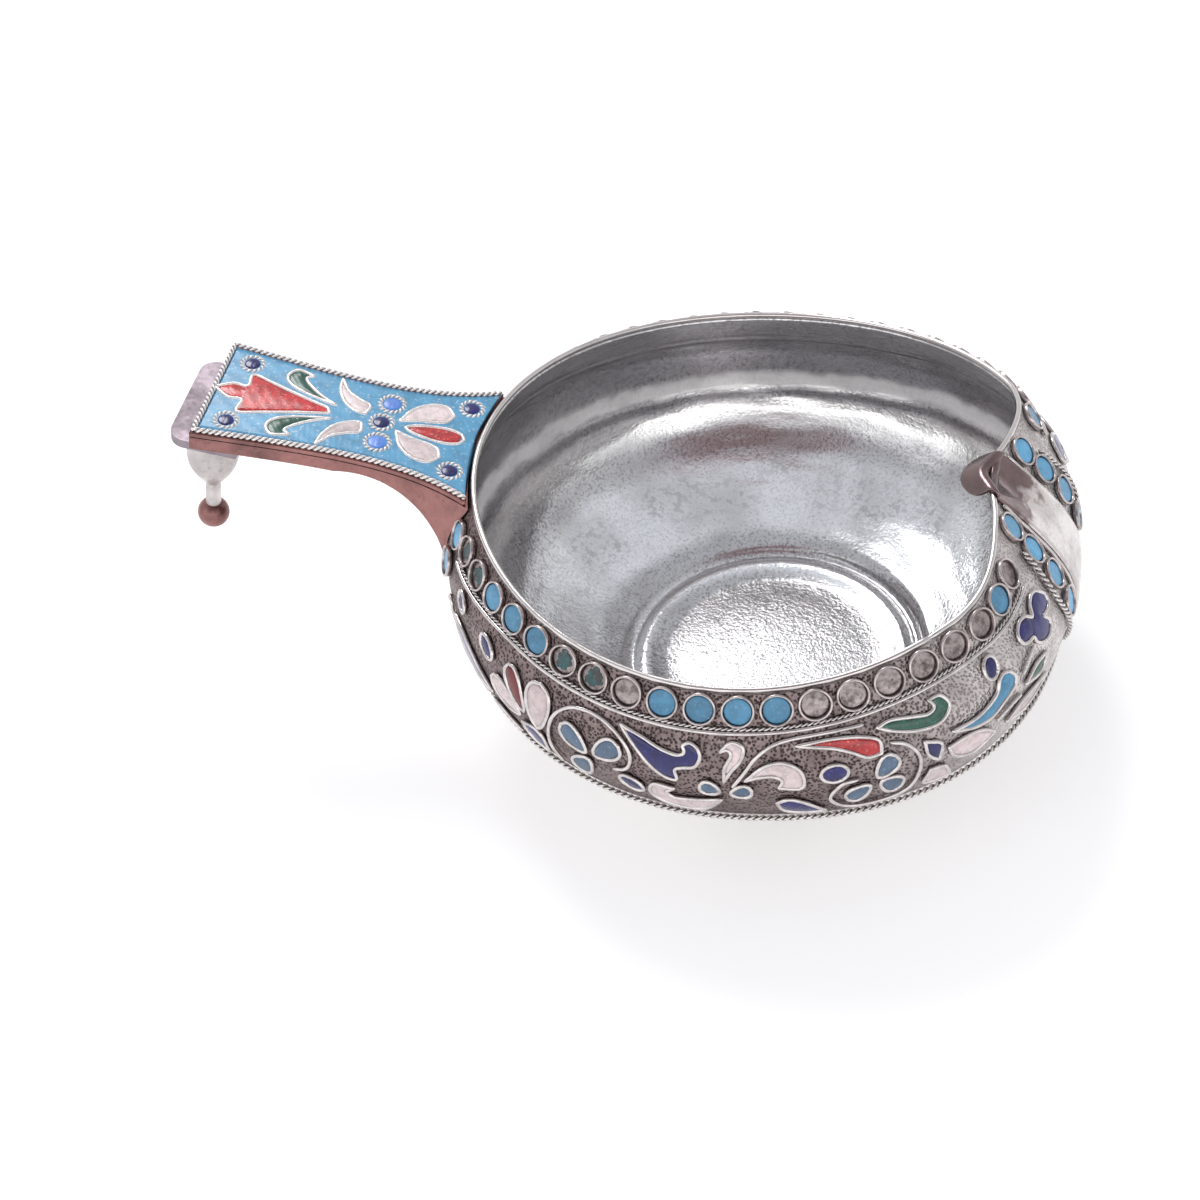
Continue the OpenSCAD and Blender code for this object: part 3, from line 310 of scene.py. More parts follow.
RED_PETAL = ((7.3, 0), (1.9, 0), 2)
COBALT_DOTS = [(22.6, 4), (22.6, -4), (2.2, 4.3), (2.2, -4.3), (9.5, 0)]
BLUE_DOTS = [(9.2, 2.65), (9.2, -2.65)]


def tint(red, green, blue):
    """Gives the linear colour, with alpha 1, of three display values from 0 to 255."""
    v = np.array([red, green, blue]) / 255
    linear = np.where(v <= 0.04045, v / 12.92, ((v + 0.055) / 1.055) ** 2.4)
    return tuple(float(c) for c in linear) + (1.0,)


class KovshSizes(bpy.types.PropertyGroup):
    """Sizes of the hand work that a user may change."""
    rope_pitch: bpy.props.FloatProperty(
        name="Rope pitch", description="Length of one full turn of the twisted wires",
        default=0.0011, min=0.0005, max=0.003, precision=5, unit="LENGTH")
    enamel_dome: bpy.props.FloatProperty(
        name="Enamel dome", description="How far the middle of an enamel cell stands over its edge",
        default=0.00007, min=0.0, max=0.0002, precision=6, unit="LENGTH")
    hammer: bpy.props.FloatProperty(
        name="Hammer marks", description="Depth of the planishing marks on the sheet",
        default=0.000035, min=0.0, max=0.0001, precision=6, unit="LENGTH")
    wobble: bpy.props.FloatProperty(
        name="Wire wobble", description="How far the wires stray from even round",
        default=0.00002, min=0.0, max=0.0001, precision=6, unit="LENGTH")


def colour_property(name, description, red, green, blue):
    """Gives a colour property from display values."""
    return bpy.props.FloatVectorProperty(
        name=name, description=description, subtype="COLOR", size=4, min=0.0, max=1.0,
        default=tint(red, green, blue))


class KovshColours(bpy.types.PropertyGroup):
    """Colours of the metal and of each enamel."""
    silver: colour_property("Silver", "Bright silver", 214, 208, 206)
    silver_dark: colour_property("Silver in the grooves", "Tarnished silver", 66, 55, 54)
    rose: colour_property("Rose silver", "Worn silver with a rose tone", 156, 112, 108)
    ground: colour_property("Ground", "Stippled silver between the cells", 138, 123, 122)
    turquoise: colour_property("Turquoise", "Turquoise enamel", 74, 138, 174)
    worn: colour_property("Worn enamel", "Chipped enamel", 40, 88, 92)
    # White enamel, with a pink tint that is a painted reflection of a hand
    white: colour_property("White", "White enamel", 224, 206, 206)
    cobalt: colour_property("Cobalt", "Cobalt enamel", 32, 28, 104)
    cornflower: colour_property("Cornflower", "Cornflower enamel", 88, 136, 220)
    red: colour_property("Red", "Red enamel", 205, 48, 52)
    dark_red: colour_property("Dark red", "Dark red enamel", 104, 18, 24)
    green: colour_property("Green", "Green enamel", 36, 86, 72)
    grey_blue: colour_property("Grey blue", "Grey-blue enamel", 84, 106, 130)


def ease(x):
    """Rises from 0 to 1 with level ends."""
    t = np.clip(x, 0, 1)
    return t * t * (3 - 2 * t)


def wall(s):
    """Radius and height of the outer wall at distances s below the rim: a straight flared band,
    a circular arc out to the belly, then a cubic curve in to the foot."""
    s = np.asarray(s, float)
    turn = UPPER_SWEEP * (BELLY_S - s) / UPPER_LEN
    t = (s - BELLY_S) / LOW_LEN
    low = [(1 - t) ** 3 * LOW[0, i] + 3 * (1 - t) ** 2 * t * LOW[1, i]
           + 3 * (1 - t) * t * t * LOW[2, i] + t ** 3 * LOW[3, i] for i in (0, 1)]
    r = np.where(s <= BAND_LEN, RIM_R + BAND_FLARE * s / BAND_LEN,
                 np.where(s <= BELLY_S, BELLY_R - UPPER_CURVE * (1 - np.cos(turn)), low[0]))
    z = np.where(s <= BAND_LEN, RIM_H - BAND_H * s / BAND_LEN,
                 np.where(s <= BELLY_S, BELLY_Z + UPPER_CURVE * np.sin(turn), low[1]))
    return r, z


def inner_wall(s):
    """The same for the inner wall, one sheet further in along the normal of the profile."""
    r0, z0 = wall(np.asarray(s) - NEAR_S)
    r1, z1 = wall(np.asarray(s) + NEAR_S)
    size = np.hypot(r1 - r0, z1 - z0)
    r, z = wall(s)
    return r + SHEET * (z1 - z0) / size, z - SHEET * (r1 - r0) / size


def place(r, z, th, inset=0.0):
    """Puts radii and heights at angles in degrees: the rim rises at both ends with the square of
    the cosine, and the prow is pinched by a smooth minimum with a sloped face."""
    level = np.clip((z - FOOT_Z) / (BAND_Z - FOOT_Z), 0, 1)
    c = np.cos(np.radians(th))
    n = np.sin(np.radians(th))
    swell = PROW_SWELL * np.sin(np.radians(2 * th)) ** 2 * 4 * level * (1 - level)
    r = r + np.where(c > 0, swell, 0)
    z = z + RIM_RISE * c ** 2 * ease(level)
    x = r * c
    y = r * n
    spread = np.where(y < 0, SPREAD_RIGHT, SPREAD_LEFT)
    notch = PROW_NOTCH * np.exp(-(y / NOTCH_HALF) ** 2) * ease(1 - (RIM_TOP - z) / NOTCH_RUN)
    face = (PROW_X - notch - PINCH_INSET * inset + (RIM_TOP - z) * PROW_SLOPE
            + spread * np.maximum(np.abs(y) - PINCH_HALF, 0))
    soft = np.minimum(x, face) - np.maximum(PROW_SOFT - np.abs(x - face), 0) ** 2 / (4 * PROW_SOFT)
    return np.stack(np.broadcast_arrays(np.where(c > 0, soft, x), y, z), -1)


def lip_middle(th):
    """Middle of the wire that lies on the edge of the sheet."""
    sheet = (place(*wall(0 * th), th) + place(*inner_wall(0 * th), th, SHEET)) / 2
    return sheet + [0, 0, SEAM + LIP_D / 2]


def unit(v):
    """Scales vectors to length one."""
    return v / np.maximum(np.linalg.norm(v, axis=-1, keepdims=True), 1e-9)


def step_round(th, s):
    """Short step round the wall."""
    return place(*wall(s), th + NEAR_ANGLE) - place(*wall(s), th - NEAR_ANGLE)


def skin_normal(th, s):
    """Outward normal of the wall, from the slopes along it and round it."""
    down = place(*wall(s + NEAR_S), th) - place(*wall(s - NEAR_S), th)
    return unit(np.cross(down, step_round(th, s)))


def on_wall(th, s, h):
    """Points at heights h above the outer wall, less what the pieces are let in."""
    th, s, h = np.broadcast_arrays(np.asarray(th, float), np.asarray(s, float), np.asarray(h, float))
    return place(*wall(s), th) + (h - LET_IN)[..., None] * skin_normal(th, s)


def drawn_angle(a):
    """Angle on the left side, in degrees, of distances across the drawing."""
    return 90 - 90 * a / DRAW_HALF


def drawn_across(angle):
    """Distances across the drawing of angles on the left side."""
    return DRAW_HALF * (1 - angle / 90)


def put_on_side(side):
    """Gives the function that lays points of the drawing on one side of the wall."""
    def put(p, h):
        return on_wall(side * drawn_angle(p[..., 0]), BAND_LEN + p[..., 1], h)
    return put


def crowded(steps):
    """Angles round the cup in degrees, closer together at the prow."""
    ring = np.arange(steps) * 360 / steps
    return ring - PROW_CROWD * np.sin(np.radians(ring))


def strip_half(s):
    """Half width of the prow's strip at distances below the rim."""
    return STRIP_HALF + STRIP_WIDEN * s / STRIP_END


def handle_half(u):
    """Half width of the handle: a straight taper with a flare of the fourth power at the root."""
    t = 1 - u / HANDLE_LEN
    return HANDLE_HALF - HANDLE_TAPER * t + HANDLE_FLARE * t ** 4


def on_handle(p, w):
    """Points of the handle's own frame, at heights w over the enamel, in the cup's frame."""
    u, v, w = np.broadcast_arrays(p[..., 0], p[..., 1], np.asarray(w, float))
    x = -ROOT_X - (u * math.cos(PITCH) - w * math.sin(PITCH))
    return np.stack([x, -v, ROOT_Z + u * math.sin(PITCH) + w * math.cos(PITCH)], -1)


def curve(points, n):
    """Smooth curve through points, at n + 1 even steps, each span a cubic set by its neighbours."""
    p = np.asarray(points, float)
    p = np.vstack([2 * p[0] - p[1], p, 2 * p[-1] - p[-2]])
    x = np.linspace(0, len(points) - 1, n + 1)
    k = np.minimum(x.astype(int), len(points) - 2)
    t = (x - k)[:, None]
    a, b, c, d = p[k], p[k + 1], p[k + 2], p[k + 3]
    return (2 * b + (c - a) * t + (2 * a - 5 * b + 4 * c - d) * t ** 2
            + (3 * b - a - 3 * c + d) * t ** 3) / 2


def spaced(path, count, closed=False):
    """Resamples a path to count points at even distances along it."""
    q = np.vstack([path, path[:1]]) if closed else np.asarray(path)
    along = np.concatenate([[0], np.cumsum(np.linalg.norm(np.diff(q, axis=0), axis=1))])
    at = np.linspace(0, along[-1], count + 1)[:-1] if closed else np.linspace(0, along[-1], count)
    return np.stack([np.interp(at, along, q[:, i]) for i in range(q.shape[1])], -1)


def petal_edges(base, tip, width, drop=False):
    """Two edges of a petal, pointed where it starts and round at its tip, or of an elliptic drop."""
    base, tip = np.asarray(base, float), np.asarray(tip, float)
    d = tip - base
    side = np.array([-d[1], d[0]]) / np.linalg.norm(d)
    t = np.linspace(0, 1, PETAL_STEPS + 1)[:, None]
    if drop:
        t = (1 - np.cos(np.pi * t)) / 2
        half = width * np.sqrt(np.maximum(t * (1 - t), 0))
    else:
        half = width / 2 * 1.42 * t ** 0.55 * np.sqrt(np.maximum(1 - t ** 3, 0))
    return base + t * d + half * side, base + t * d - half * side


def leaf_edges(leaf):
    """Two edges of a leaf, each a smooth curve from the stem to the tip."""
    return curve(leaf[1], LEAF_STEPS), curve(leaf[2], LEAF_STEPS)


def outline(edges):
    """Closed outline of a cell, up one edge and back along the other."""
    return np.vstack([edges[0], edges[1][-2:0:-1]])


def ripple(x, seed):
    """Uneven wave between about -1 and 1 that never repeats over a short run."""
    return (np.sin(1.3 * x + seed) + 0.7 * np.sin(2.9 * x + 2.1 * seed)
            + 0.5 * np.sin(6.1 * x + 3.7 * seed)) / 2.2


def planished(th, s):
    """Hammer marks in rows round the cup: many waves of random direction and phase, longer round the
    axis than down the wall, added up and scaled to about one."""
    rng = np.random.default_rng(11)
    round_waves = rng.integers(-22, 23, HAMMER_WAVES)
    down_waves = rng.uniform(1.1, 3.0, HAMMER_WAVES)
    phases = rng.uniform(0, 2 * np.pi, HAMMER_WAVES)
    total = 0
    for turns, rate, phase in zip(round_waves, down_waves, phases):
        total = total + np.cos(np.radians(turns * th) + rate * s + phase)
    return total / math.sqrt(HAMMER_WAVES)


class Part:
    """One grid of points with what is needed to make its faces."""

    def __init__(self, grid, wrap_u=False, wrap_v=True, ends=True, material=0, **values):
        self.grid = grid
        self.wrap_u = wrap_u
        self.wrap_v = wrap_v
        self.ends = ends and not wrap_u
        self.material = material
        self.values = values


def grid_faces(part):
    """Quads between neighbours of a grid, and a closing face on each open end."""
    n, m = part.grid.shape[:2]
    at = np.arange(n * m).reshape(n, m)
    if part.wrap_u:
        at = np.vstack([at, at[:1]])
    if part.wrap_v:
        at = np.hstack([at, at[:, :1]])
    quads = np.stack([at[:-1, :-1], at[1:, :-1], at[1:, 1:], at[:-1, 1:]], -1).reshape(-1, 4)
    caps = []
    if part.ends:
        caps = [np.arange(m), (n - 1) * m + np.arange(m)[::-1]]
    p = part.grid.reshape(-1, 3)
    a, b, c, d = (p[quads[:, i]] for i in range(4))
    volume = np.sum(a * np.cross(b, c)) + np.sum(a * np.cross(c, d))
    for cap in caps:
        q = p[cap]
        volume += np.sum(q[0] * np.cross(q[1:-1], q[2:]))
    if volume < 0:
        quads = quads[:, ::-1]
        caps = [cap[::-1] for cap in caps]
    return quads, caps


def add_piece(name, parts, materials, slot, *nodes):
    """Makes one mesh of all the parts, with smooth faces that look outwards, hangs it under the root body,
    and hides the nodes that it takes the place of."""
    points, corners, sizes, indices = [], [], [], []
    keys = sorted({key for part in parts for key in part.values})
    values = {key: [] for key in keys}
    base = 0
    for part in parts:
        quads, caps = grid_faces(part)
        points.append(part.grid.reshape(-1, 3))
        corners.append((quads + base).ravel())
        corners.extend(cap + base for cap in caps)
        sizes.append(np.full(len(quads), 4))
        sizes.extend(np.array([len(cap)]) for cap in caps)
        indices.append(np.full(len(quads) + len(caps), part.material))
        count = part.grid.shape[0] * part.grid.shape[1]
        for key in keys:
            v = np.broadcast_to(part.values.get(key, 0.0), part.grid.shape[:2])
            values[key].append(v.reshape(count))
        base += count
    points = np.vstack(points) * MM
    corners = np.concatenate(corners)
    sizes = np.concatenate(sizes)
    mesh = bpy.data.meshes.new(name)
    mesh.vertices.add(len(points))
    mesh.vertices.foreach_set("co", points.ravel())
    mesh.loops.add(len(corners))
    mesh.loops.foreach_set("vertex_index", corners.astype(np.int32))
    mesh.polygons.add(len(sizes))
    starts = np.concatenate([[0], np.cumsum(sizes)[:-1]])
    mesh.polygons.foreach_set("loop_start", starts.astype(np.int32))
    mesh.polygons.foreach_set("material_index", np.concatenate(indices).astype(np.int32))
    mesh.polygons.foreach_set("use_smooth", np.ones(len(sizes), bool))
    mesh.update(calc_edges=True)
    if mesh.validate():
        raise RuntimeError(name + " has faces that cannot be built")
    for key in keys:
        layer = mesh.attributes.new(key, "FLOAT", "POINT")
        layer.data.foreach_set("value", np.concatenate(values[key]).astype(np.float32))
    for material in materials:
        mesh.materials.append(material)
    piece = bpy.data.objects.new(name, mesh)
    bpy.context.scene.collection.objects.link(piece)
    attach(piece, "root")
    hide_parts(*nodes)
    return piece


def tube(path, up, radius, sides, closed, flat=1.0):
    """Carries a round or flattened section along a path, upright to the given normals; the radius may
    change along the path and round the section."""
    along = unit(np.roll(path, -1, 0) - np.roll(path, 1, 0) if closed else np.gradient(path, axis=0))
    across = unit(np.cross(along, up))
    rise = np.cross(across, along)
    angle = np.linspace(0, 2 * np.pi, sides, endpoint=False)[None, :, None]
    radius = radius.reshape(len(path), -1, 1)
    return path[:, None] + radius * (np.cos(angle) * across[:, None] + flat * np.sin(angle) * rise[:, None])


def blunt(n):
    """Factors that round the two ends of a wire: a quarter circle over the last few points."""
    i = np.minimum(np.arange(n), np.arange(n)[::-1])
    return np.sqrt(1 - np.clip(1 - (i + 0.25) / BLUNT_POINTS, 0, 1) ** 2)


def wire(path, up, diameter, wobble, seed, closed=False, flat=WIRE_FLAT):
    """Part of a plain wire, slightly uneven, with rounded ends when it is open."""
    n = len(path)
    run = np.linspace(0, CLOSED_WAVES if closed else OPEN_WAVES, n, endpoint=not closed)
    radius = diameter / 2 - wobble * (1 + ripple(run, seed))
    if not closed:
        radius = radius * blunt(n)
    return Part(tube(path, up, radius, WIRE_SIDES, closed, flat), wrap_u=closed, ends=not closed)


def rope(path, up, diameter, pitch, closed=False, deep=ROPE_CORE):
    """Part of a wire twisted from two strands: the section is a figure of two lobes, the root of
    cosine squared plus a core, and turns once in each pitch."""
    q = np.vstack([path, path[:1]]) if closed else path
    length = np.linalg.norm(np.diff(q, axis=0), axis=1).sum()
    half_turns = max(4, int(round(2 * length / pitch)))
    count = half_turns * STEPS_PER_LOBE
    both = spaced(np.hstack([path, up]), count, closed)
    path, up = both[:, :3], unit(both[:, 3:])
    phase = np.pi * half_turns * np.arange(count) / (count if closed else count - 1)
    angle = np.linspace(0, 2 * np.pi, ROPE_SIDES, endpoint=False)
    lobe = np.cos(angle[None] - phase[:, None]) ** 2
    shape = np.sqrt((lobe + deep) / (1 + deep)) * diameter / 2
    if not closed:
        shape = shape * blunt(count)[:, None]
    grid = tube(path, up, shape, ROPE_SIDES, closed, ROPE_FLAT)
    return Part(grid, wrap_u=closed, ends=not closed, groove=1 - lobe)


def wall_path(th, s, diameter):
    """Centre line of a wire on the wall, with the wall's normals."""
    th, s = np.broadcast_arrays(np.asarray(th, float), np.asarray(s, float))
    return on_wall(th, s, SEAM + diameter / 2), skin_normal(th, s)


def drawn_path(points, put, diameter, lift):
    """Centre line of a wire over the points of a drawing, with the normals there."""
    low = put(points, lift + diameter / 2)
    return low, unit(put(points, lift + diameter / 2 + 0.1) - low)


def cell(edges, put, gap, low, top, dome, seed, columns=9):
    """Part of one enamel cell between two edges: pulled in by the half width of the wire, domed
    with the square of the distance from the middle, with upright sides down to its bed."""
    a, b = np.asarray(edges[0]), np.asarray(edges[1])
    half = (b - a) / 2
    size = np.linalg.norm(half, axis=1)
    keep = size > gap + 0.05
    a, b, half, size = a[keep], b[keep], half[keep], size[keep]
    middle = (a + b) / 2
    half = half * ((size - gap) / size)[:, None]
    k = np.linspace(-1, 1, columns)
    k = np.concatenate([[-1], k, [1]])
    p = middle[:, None] + half[:, None] * k[None, :, None]
    fullness = np.clip((size - gap) / 0.6, 0.15, 1)[:, None]
    uneven = 0.012 * ripple(4 * p[..., 0] + 3 * p[..., 1], seed)
    h = top + dome * fullness * (1 - k[None] ** 2) + uneven
    h[:, 0] = low
    h[:, -1] = low
    return Part(put(p, h), tone=(seed * GOLDEN) % 1)


def stand(th, s):
    """Frame of a dot on the wall: centre, direction round the cup, direction down, and normal."""
    n = skin_normal(np.asarray(th, float), np.asarray(s, float))
    e1 = unit(step_round(th, s))
    return on_wall(th, s, SEAM), e1, np.cross(n, e1), n


def turned(frame_axes, radius, height):
    """Turns a profile of radii and heights about the normal of a frame; radius may change with
    the angle. Rows go round, columns along the profile."""
    centre, e1, e2, n = frame_axes
    phi = DOT_ANGLES[..., None]
    return centre + radius[..., None] * (np.cos(phi) * e1 + np.sin(phi) * e2) + height[..., None] * n


def collar(frame_axes, radius, thick, height, seed):
    """Part of a ring with a rounded upright section, a little out of round."""
    phi = DOT_ANGLES
    a = np.linspace(0, 2 * np.pi, COLLAR_SIDES, endpoint=False)[None]
    soft = np.sign(np.cos(a)) * np.abs(np.cos(a)) ** COLLAR_SOFT
    tall = np.sign(np.sin(a)) * np.abs(np.sin(a)) ** COLLAR_SOFT
    out = 1 + 0.012 * np.cos(2 * phi + seed) + 0.008 * np.cos(3 * phi + 2 * seed)
    r = (radius - thick / 2) * out - HAND_PLAY + thick / 2 * soft
    h = height / 2 + (height / 2 - HAND_PLAY) * tall + 0.018 * np.sin(phi + 5 * seed) * (tall > 0)
    return Part(turned(frame_axes, r, h), wrap_u=True)


def disc(frame_axes, radius, height, dome, seed, ragged=0.0):
    """Part of a low enamel disc: a domed face, a rounded shoulder and an upright side."""
    phi = DOT_ANGLES
    k = np.array([[1, 1, 0.97, 0.9, 0.75, 0.55, 0.35, 0.12]])
    edge = 1 - ragged * (0.5 + 0.5 * ripple(phi * 2, seed)) - 0.01 * (1 + np.cos(2 * phi + seed))
    r = radius * k * edge
    h = height + dome * (1 - k ** 2) - np.array([[0, 0.07, 0.02, 0, 0, 0, 0, 0]])
    h = h + (0.012 + 0.12 * ragged) * ripple(5 * r * np.cos(phi), seed) * (1 - k ** 6)
    h[:, 0] = 0
    return Part(turned(frame_axes, r, h).transpose(1, 0, 2), tone=(seed * GOLDEN) % 1)


def dish(frame_axes, radius, seed, material):
    """Part of the bare floor of a cell: a shallow dish with a low boss in the middle."""
    k = np.array([[1, 1, 0.85, 0.65, 0.45, 0.25, 0.08]])
    r = radius * k + 0 * DOT_ANGLES
    uneven = ripple(5 * r * np.cos(DOT_ANGLES), seed)
    h = 0.05 + 0.1 * k ** 3 + 0.05 * np.exp(-(k / 0.35) ** 2) + 0.015 * uneven
    h[:, 0] = 0
    return Part(turned(frame_axes, r, h).transpose(1, 0, 2), material=material)


def start_group(name, inputs, outputs):
    """Makes a shader node group with its sockets, and gives its tree and end nodes."""
    group = bpy.data.node_groups.new(name, "ShaderNodeTree")
    for label, default in inputs.items():
        kind = "NodeSocketFloat" if isinstance(default, float) else "NodeSocketColor"
        socket = group.interface.new_socket(label, in_out="INPUT", socket_type=kind)
        socket.default_value = default
    for label in outputs:
        kind = "NodeSocketColor" if label == "Color" else "NodeSocketFloat"
        group.interface.new_socket(label, in_out="OUTPUT", socket_type=kind)
    return group, group.nodes.new("NodeGroupInput"), group.nodes.new("NodeGroupOutput")


def feed(tree, socket, value):
    """Links a socket to the one that feeds it, or sets it to a constant."""
    if isinstance(value, bpy.types.NodeSocket):
        tree.links.new(value, socket)
    else:
        socket.default_value = value


def node(tree, kind, settings=None, **inputs):
    """Adds a node; inputs are constants or the sockets that feed it."""
    made = tree.nodes.new(kind)
    for key, value in (settings or {}).items():
        setattr(made, key, value)
    for key, value in inputs.items():
        feed(tree, made.inputs[key.replace("_", " ")], value)
    return made


def own_place(tree):
    """The object's own coordinates."""
    return node(tree, "ShaderNodeTexCoord").outputs["Object"]


def noise(tree, where, scale, detail=3.0, rough=0.55):
    """Noise value over given coordinates."""
    made = node(tree, "ShaderNodeTexNoise", Vector=where, Scale=scale, Detail=detail, Roughness=rough)
    return made.outputs["Fac"]


def span(tree, value, low, high, to_low=0.0, to_high=1.0):
    """Maps a range of a value smoothly on another range."""
    made = node(tree, "ShaderNodeMapRange", {"interpolation_type": "SMOOTHSTEP"}, Value=value,
                From_Min=low, From_Max=high, To_Min=to_low, To_Max=to_high)
    return made.outputs["Result"]


def blend(tree, factor, first, second):
    """Mixes two colours."""
    made = node(tree, "ShaderNodeMix", {"data_type": "RGBA"})
    for number, value in ((0, factor), (6, first), (7, second)):
        feed(tree, made.inputs[number], value)
    return made.outputs[2]


def maths(tree, operation, first, second):
    """One step of arithmetic on two values."""
    made = node(tree, "ShaderNodeMath", {"operation": operation})
    feed(tree, made.inputs[0], first)
    feed(tree, made.inputs[1], second)
    return made.outputs[0]


def times(tree, first, second):
    """Product of two values."""
    return maths(tree, "MULTIPLY", first, second)


def plus(tree, first, second):
    """Sum of two values."""
    return maths(tree, "ADD", first, second)


def belt(tree, value, start, full, fade, end):
    """One inside a belt of values and zero outside, with soft borders."""
    return times(tree, span(tree, value, start, full), span(tree, value, fade, end, 1.0, 0.0))


def silver_group():
    """Node group for all the metal: clouded tone, tarnish, grain and a groove mask."""
    group, start, end = start_group(
        "Kovsh silver",
        {"Bright": (0.6, 0.6, 0.6, 1), "Dark": (0.1, 0.1, 0.1, 1), "Cloud Scale": 200.0,
         "Grain Scale": 2500.0, "Tarnish": 0.3, "Groove": 0.0, "Rough Low": 0.2, "Rough High": 0.4},
        ("Color", "Roughness", "Height"))
    given = start.outputs
    where = own_place(group)
    cloud = noise(group, where, given["Cloud Scale"], 5.0, 0.6)
    grain = noise(group, where, given["Grain Scale"], 3.0, 0.6)
    patch = times(group, span(group, cloud, 0.4, 0.68), given["Tarnish"])
    speck = times(group, span(group, grain, 0.52, 0.75), times(group, given["Tarnish"], 0.6))
    dark = maths(group, "MAXIMUM", plus(group, patch, speck), given["Groove"])
    limit = node(group, "ShaderNodeClamp", Value=dark).outputs["Result"]
    uneven = plus(group, times(group, cloud, 0.6), times(group, grain, 0.4))
    rough = span(group, uneven, 0.3, 0.7, given["Rough Low"], given["Rough High"])
    feed(group, end.inputs["Color"], blend(group, limit, given["Bright"], given["Dark"]))
    feed(group, end.inputs["Roughness"], rough)
    feed(group, end.inputs["Height"], plus(group, grain, times(group, cloud, 1.5)))
    return group


def enamel_group():
    """Node group for all the enamel: a mottled body, light specks, pits and a tone for each cell."""
    group, start, end = start_group(
        "Kovsh enamel",
        {"Base": (0.2, 0.4, 0.6, 1), "Second": (0.1, 0.2, 0.3, 1), "Speck": (0.8, 0.8, 0.8, 1),
         "Mottle Scale": 900.0, "Mottle": 0.5, "Speck Scale": 4000.0, "Speck Amount": 0.2, "Tone": 0.5},
        ("Color", "Height"))
    given = start.outputs
    where = own_place(group)
    mottle = noise(group, where, given["Mottle Scale"], 4.0, 0.6)
    grain = noise(group, where, given["Speck Scale"], 2.0, 0.5)
    mask = times(group, span(group, mottle, 0.38, 0.66), given["Mottle"])
    body = blend(group, mask, given["Base"], given["Second"])
    speck = times(group, span(group, grain, 0.58, 0.74), given["Speck Amount"])
    body = blend(group, speck, body, given["Speck"])
    level = span(group, given["Tone"], 0.0, 1.0, 0.86, 1.12)
    tone = node(group, "ShaderNodeHueSaturation", Color=body, Value=level)
    feed(group, end.inputs["Color"], tone.outputs["Color"])
    feed(group, end.inputs["Height"], plus(group, mottle, times(group, grain, 0.5)))
    return group


def start_material(name):
    """Makes a material with an empty tree, its shader and its output."""
    material = bpy.data.materials.new(name)
    material.use_nodes = True
    tree = material.node_tree
    tree.nodes.clear()
    shader = tree.nodes.new("ShaderNodeBsdfPrincipled")
    out = tree.nodes.new("ShaderNodeOutputMaterial")
    tree.links.new(shader.outputs["BSDF"], out.inputs["Surface"])
    return material, tree, shader


def attribute(tree, name):
    """Reads a value that a piece carries on its points."""
    return node(tree, "ShaderNodeAttribute", {"attribute_name": name}).outputs["Fac"]


def use_group(tree, name, make, **inputs):
    """Adds one of the shared groups to a material; the group is made on first use."""
    group = bpy.data.node_groups.get(name) or make()
    return node(tree, "ShaderNodeGroup", {"node_tree": group}, **inputs)


def silver_look(tree, shader, metallic, **inputs):
    """Feeds the silver group into a shader, and gives the group's height."""
    made = use_group(tree, "Kovsh silver", silver_group, **inputs)
    feed(tree, shader.inputs["Base Color"], made.outputs["Color"])
    feed(tree, shader.inputs["Roughness"], made.outputs["Roughness"])
    feed(tree, shader.inputs["Metallic"], metallic)
    return made.outputs["Height"]


def relief(tree, shader, height, distance):
    """Feeds a height into the shader's normal as fine relief."""
    bump = node(tree, "ShaderNodeBump", Height=height, Distance=distance, Strength=1.0)
    tree.links.new(bump.outputs["Normal"], shader.inputs["Normal"])


def picked(colour, colours):
    """Gives a colour of the settings by its name, or the colour itself."""
    return tuple(getattr(colours, colour)) if isinstance(colour, str) else colour


# Metals: bright and dark colour, lowest and highest roughness, scale of clouds and grain, tarnish, depth of
# the relief, whether the grooves of twisted wire darken it, and how metallic it is
METALS = {
    "satin": ("silver", "silver_dark", 0.28, 0.48, 160.0, 2200.0, 0.35, 0.00001, False, 1.0),
    "lip": ("silver", "silver_dark", 0.1, 0.22, 300.0, 2500.0, 0.12, 0.000005, False, 1.0),
    "wire": ("silver", "silver_dark", 0.16, 0.32, 700.0, 3500.0, 0.25, 0.000006, False, 1.0),
    "rope": ("silver", (0.02, 0.017, 0.016, 1), 0.16, 0.34, 700.0, 3500.0, 0.2, 0.000006, True, 1.0),
    # Whiter, less metallic copies of the wire and rope, with painted light for the glare on the handle's top
    "frosted_wire": (tint(236, 230, 228), "silver_dark", 0.2, 0.36, 700.0, 3500.0, 0.2, 0.000006,
                     False, 0.55),
    "frosted_rope": (tint(240, 234, 232), (0.12, 0.1, 0.1, 1), 0.22, 0.38, 700.0, 3500.0, 0.15, 0.000006,
                     True, 0.5),
    "collar": (tint(196, 186, 184), "silver_dark", 0.2, 0.38, 900.0, 3500.0, 0.4, 0.000008, False, 1.0),
    "cell_floor": (tint(158, 148, 147), "silver_dark", 0.24, 0.46, 1300.0, 4000.0, 0.7, 0.00002, False, 1.0),
    "rose": ("rose", "silver_dark", 0.24, 0.42, 220.0, 2200.0, 0.5, 0.00001, False, 1.0),
    "dull": (tint(150, 139, 146), "silver_dark", 0.4, 0.6, 300.0, 2200.0, 0.3, 0.00001, False, 1.0),
}


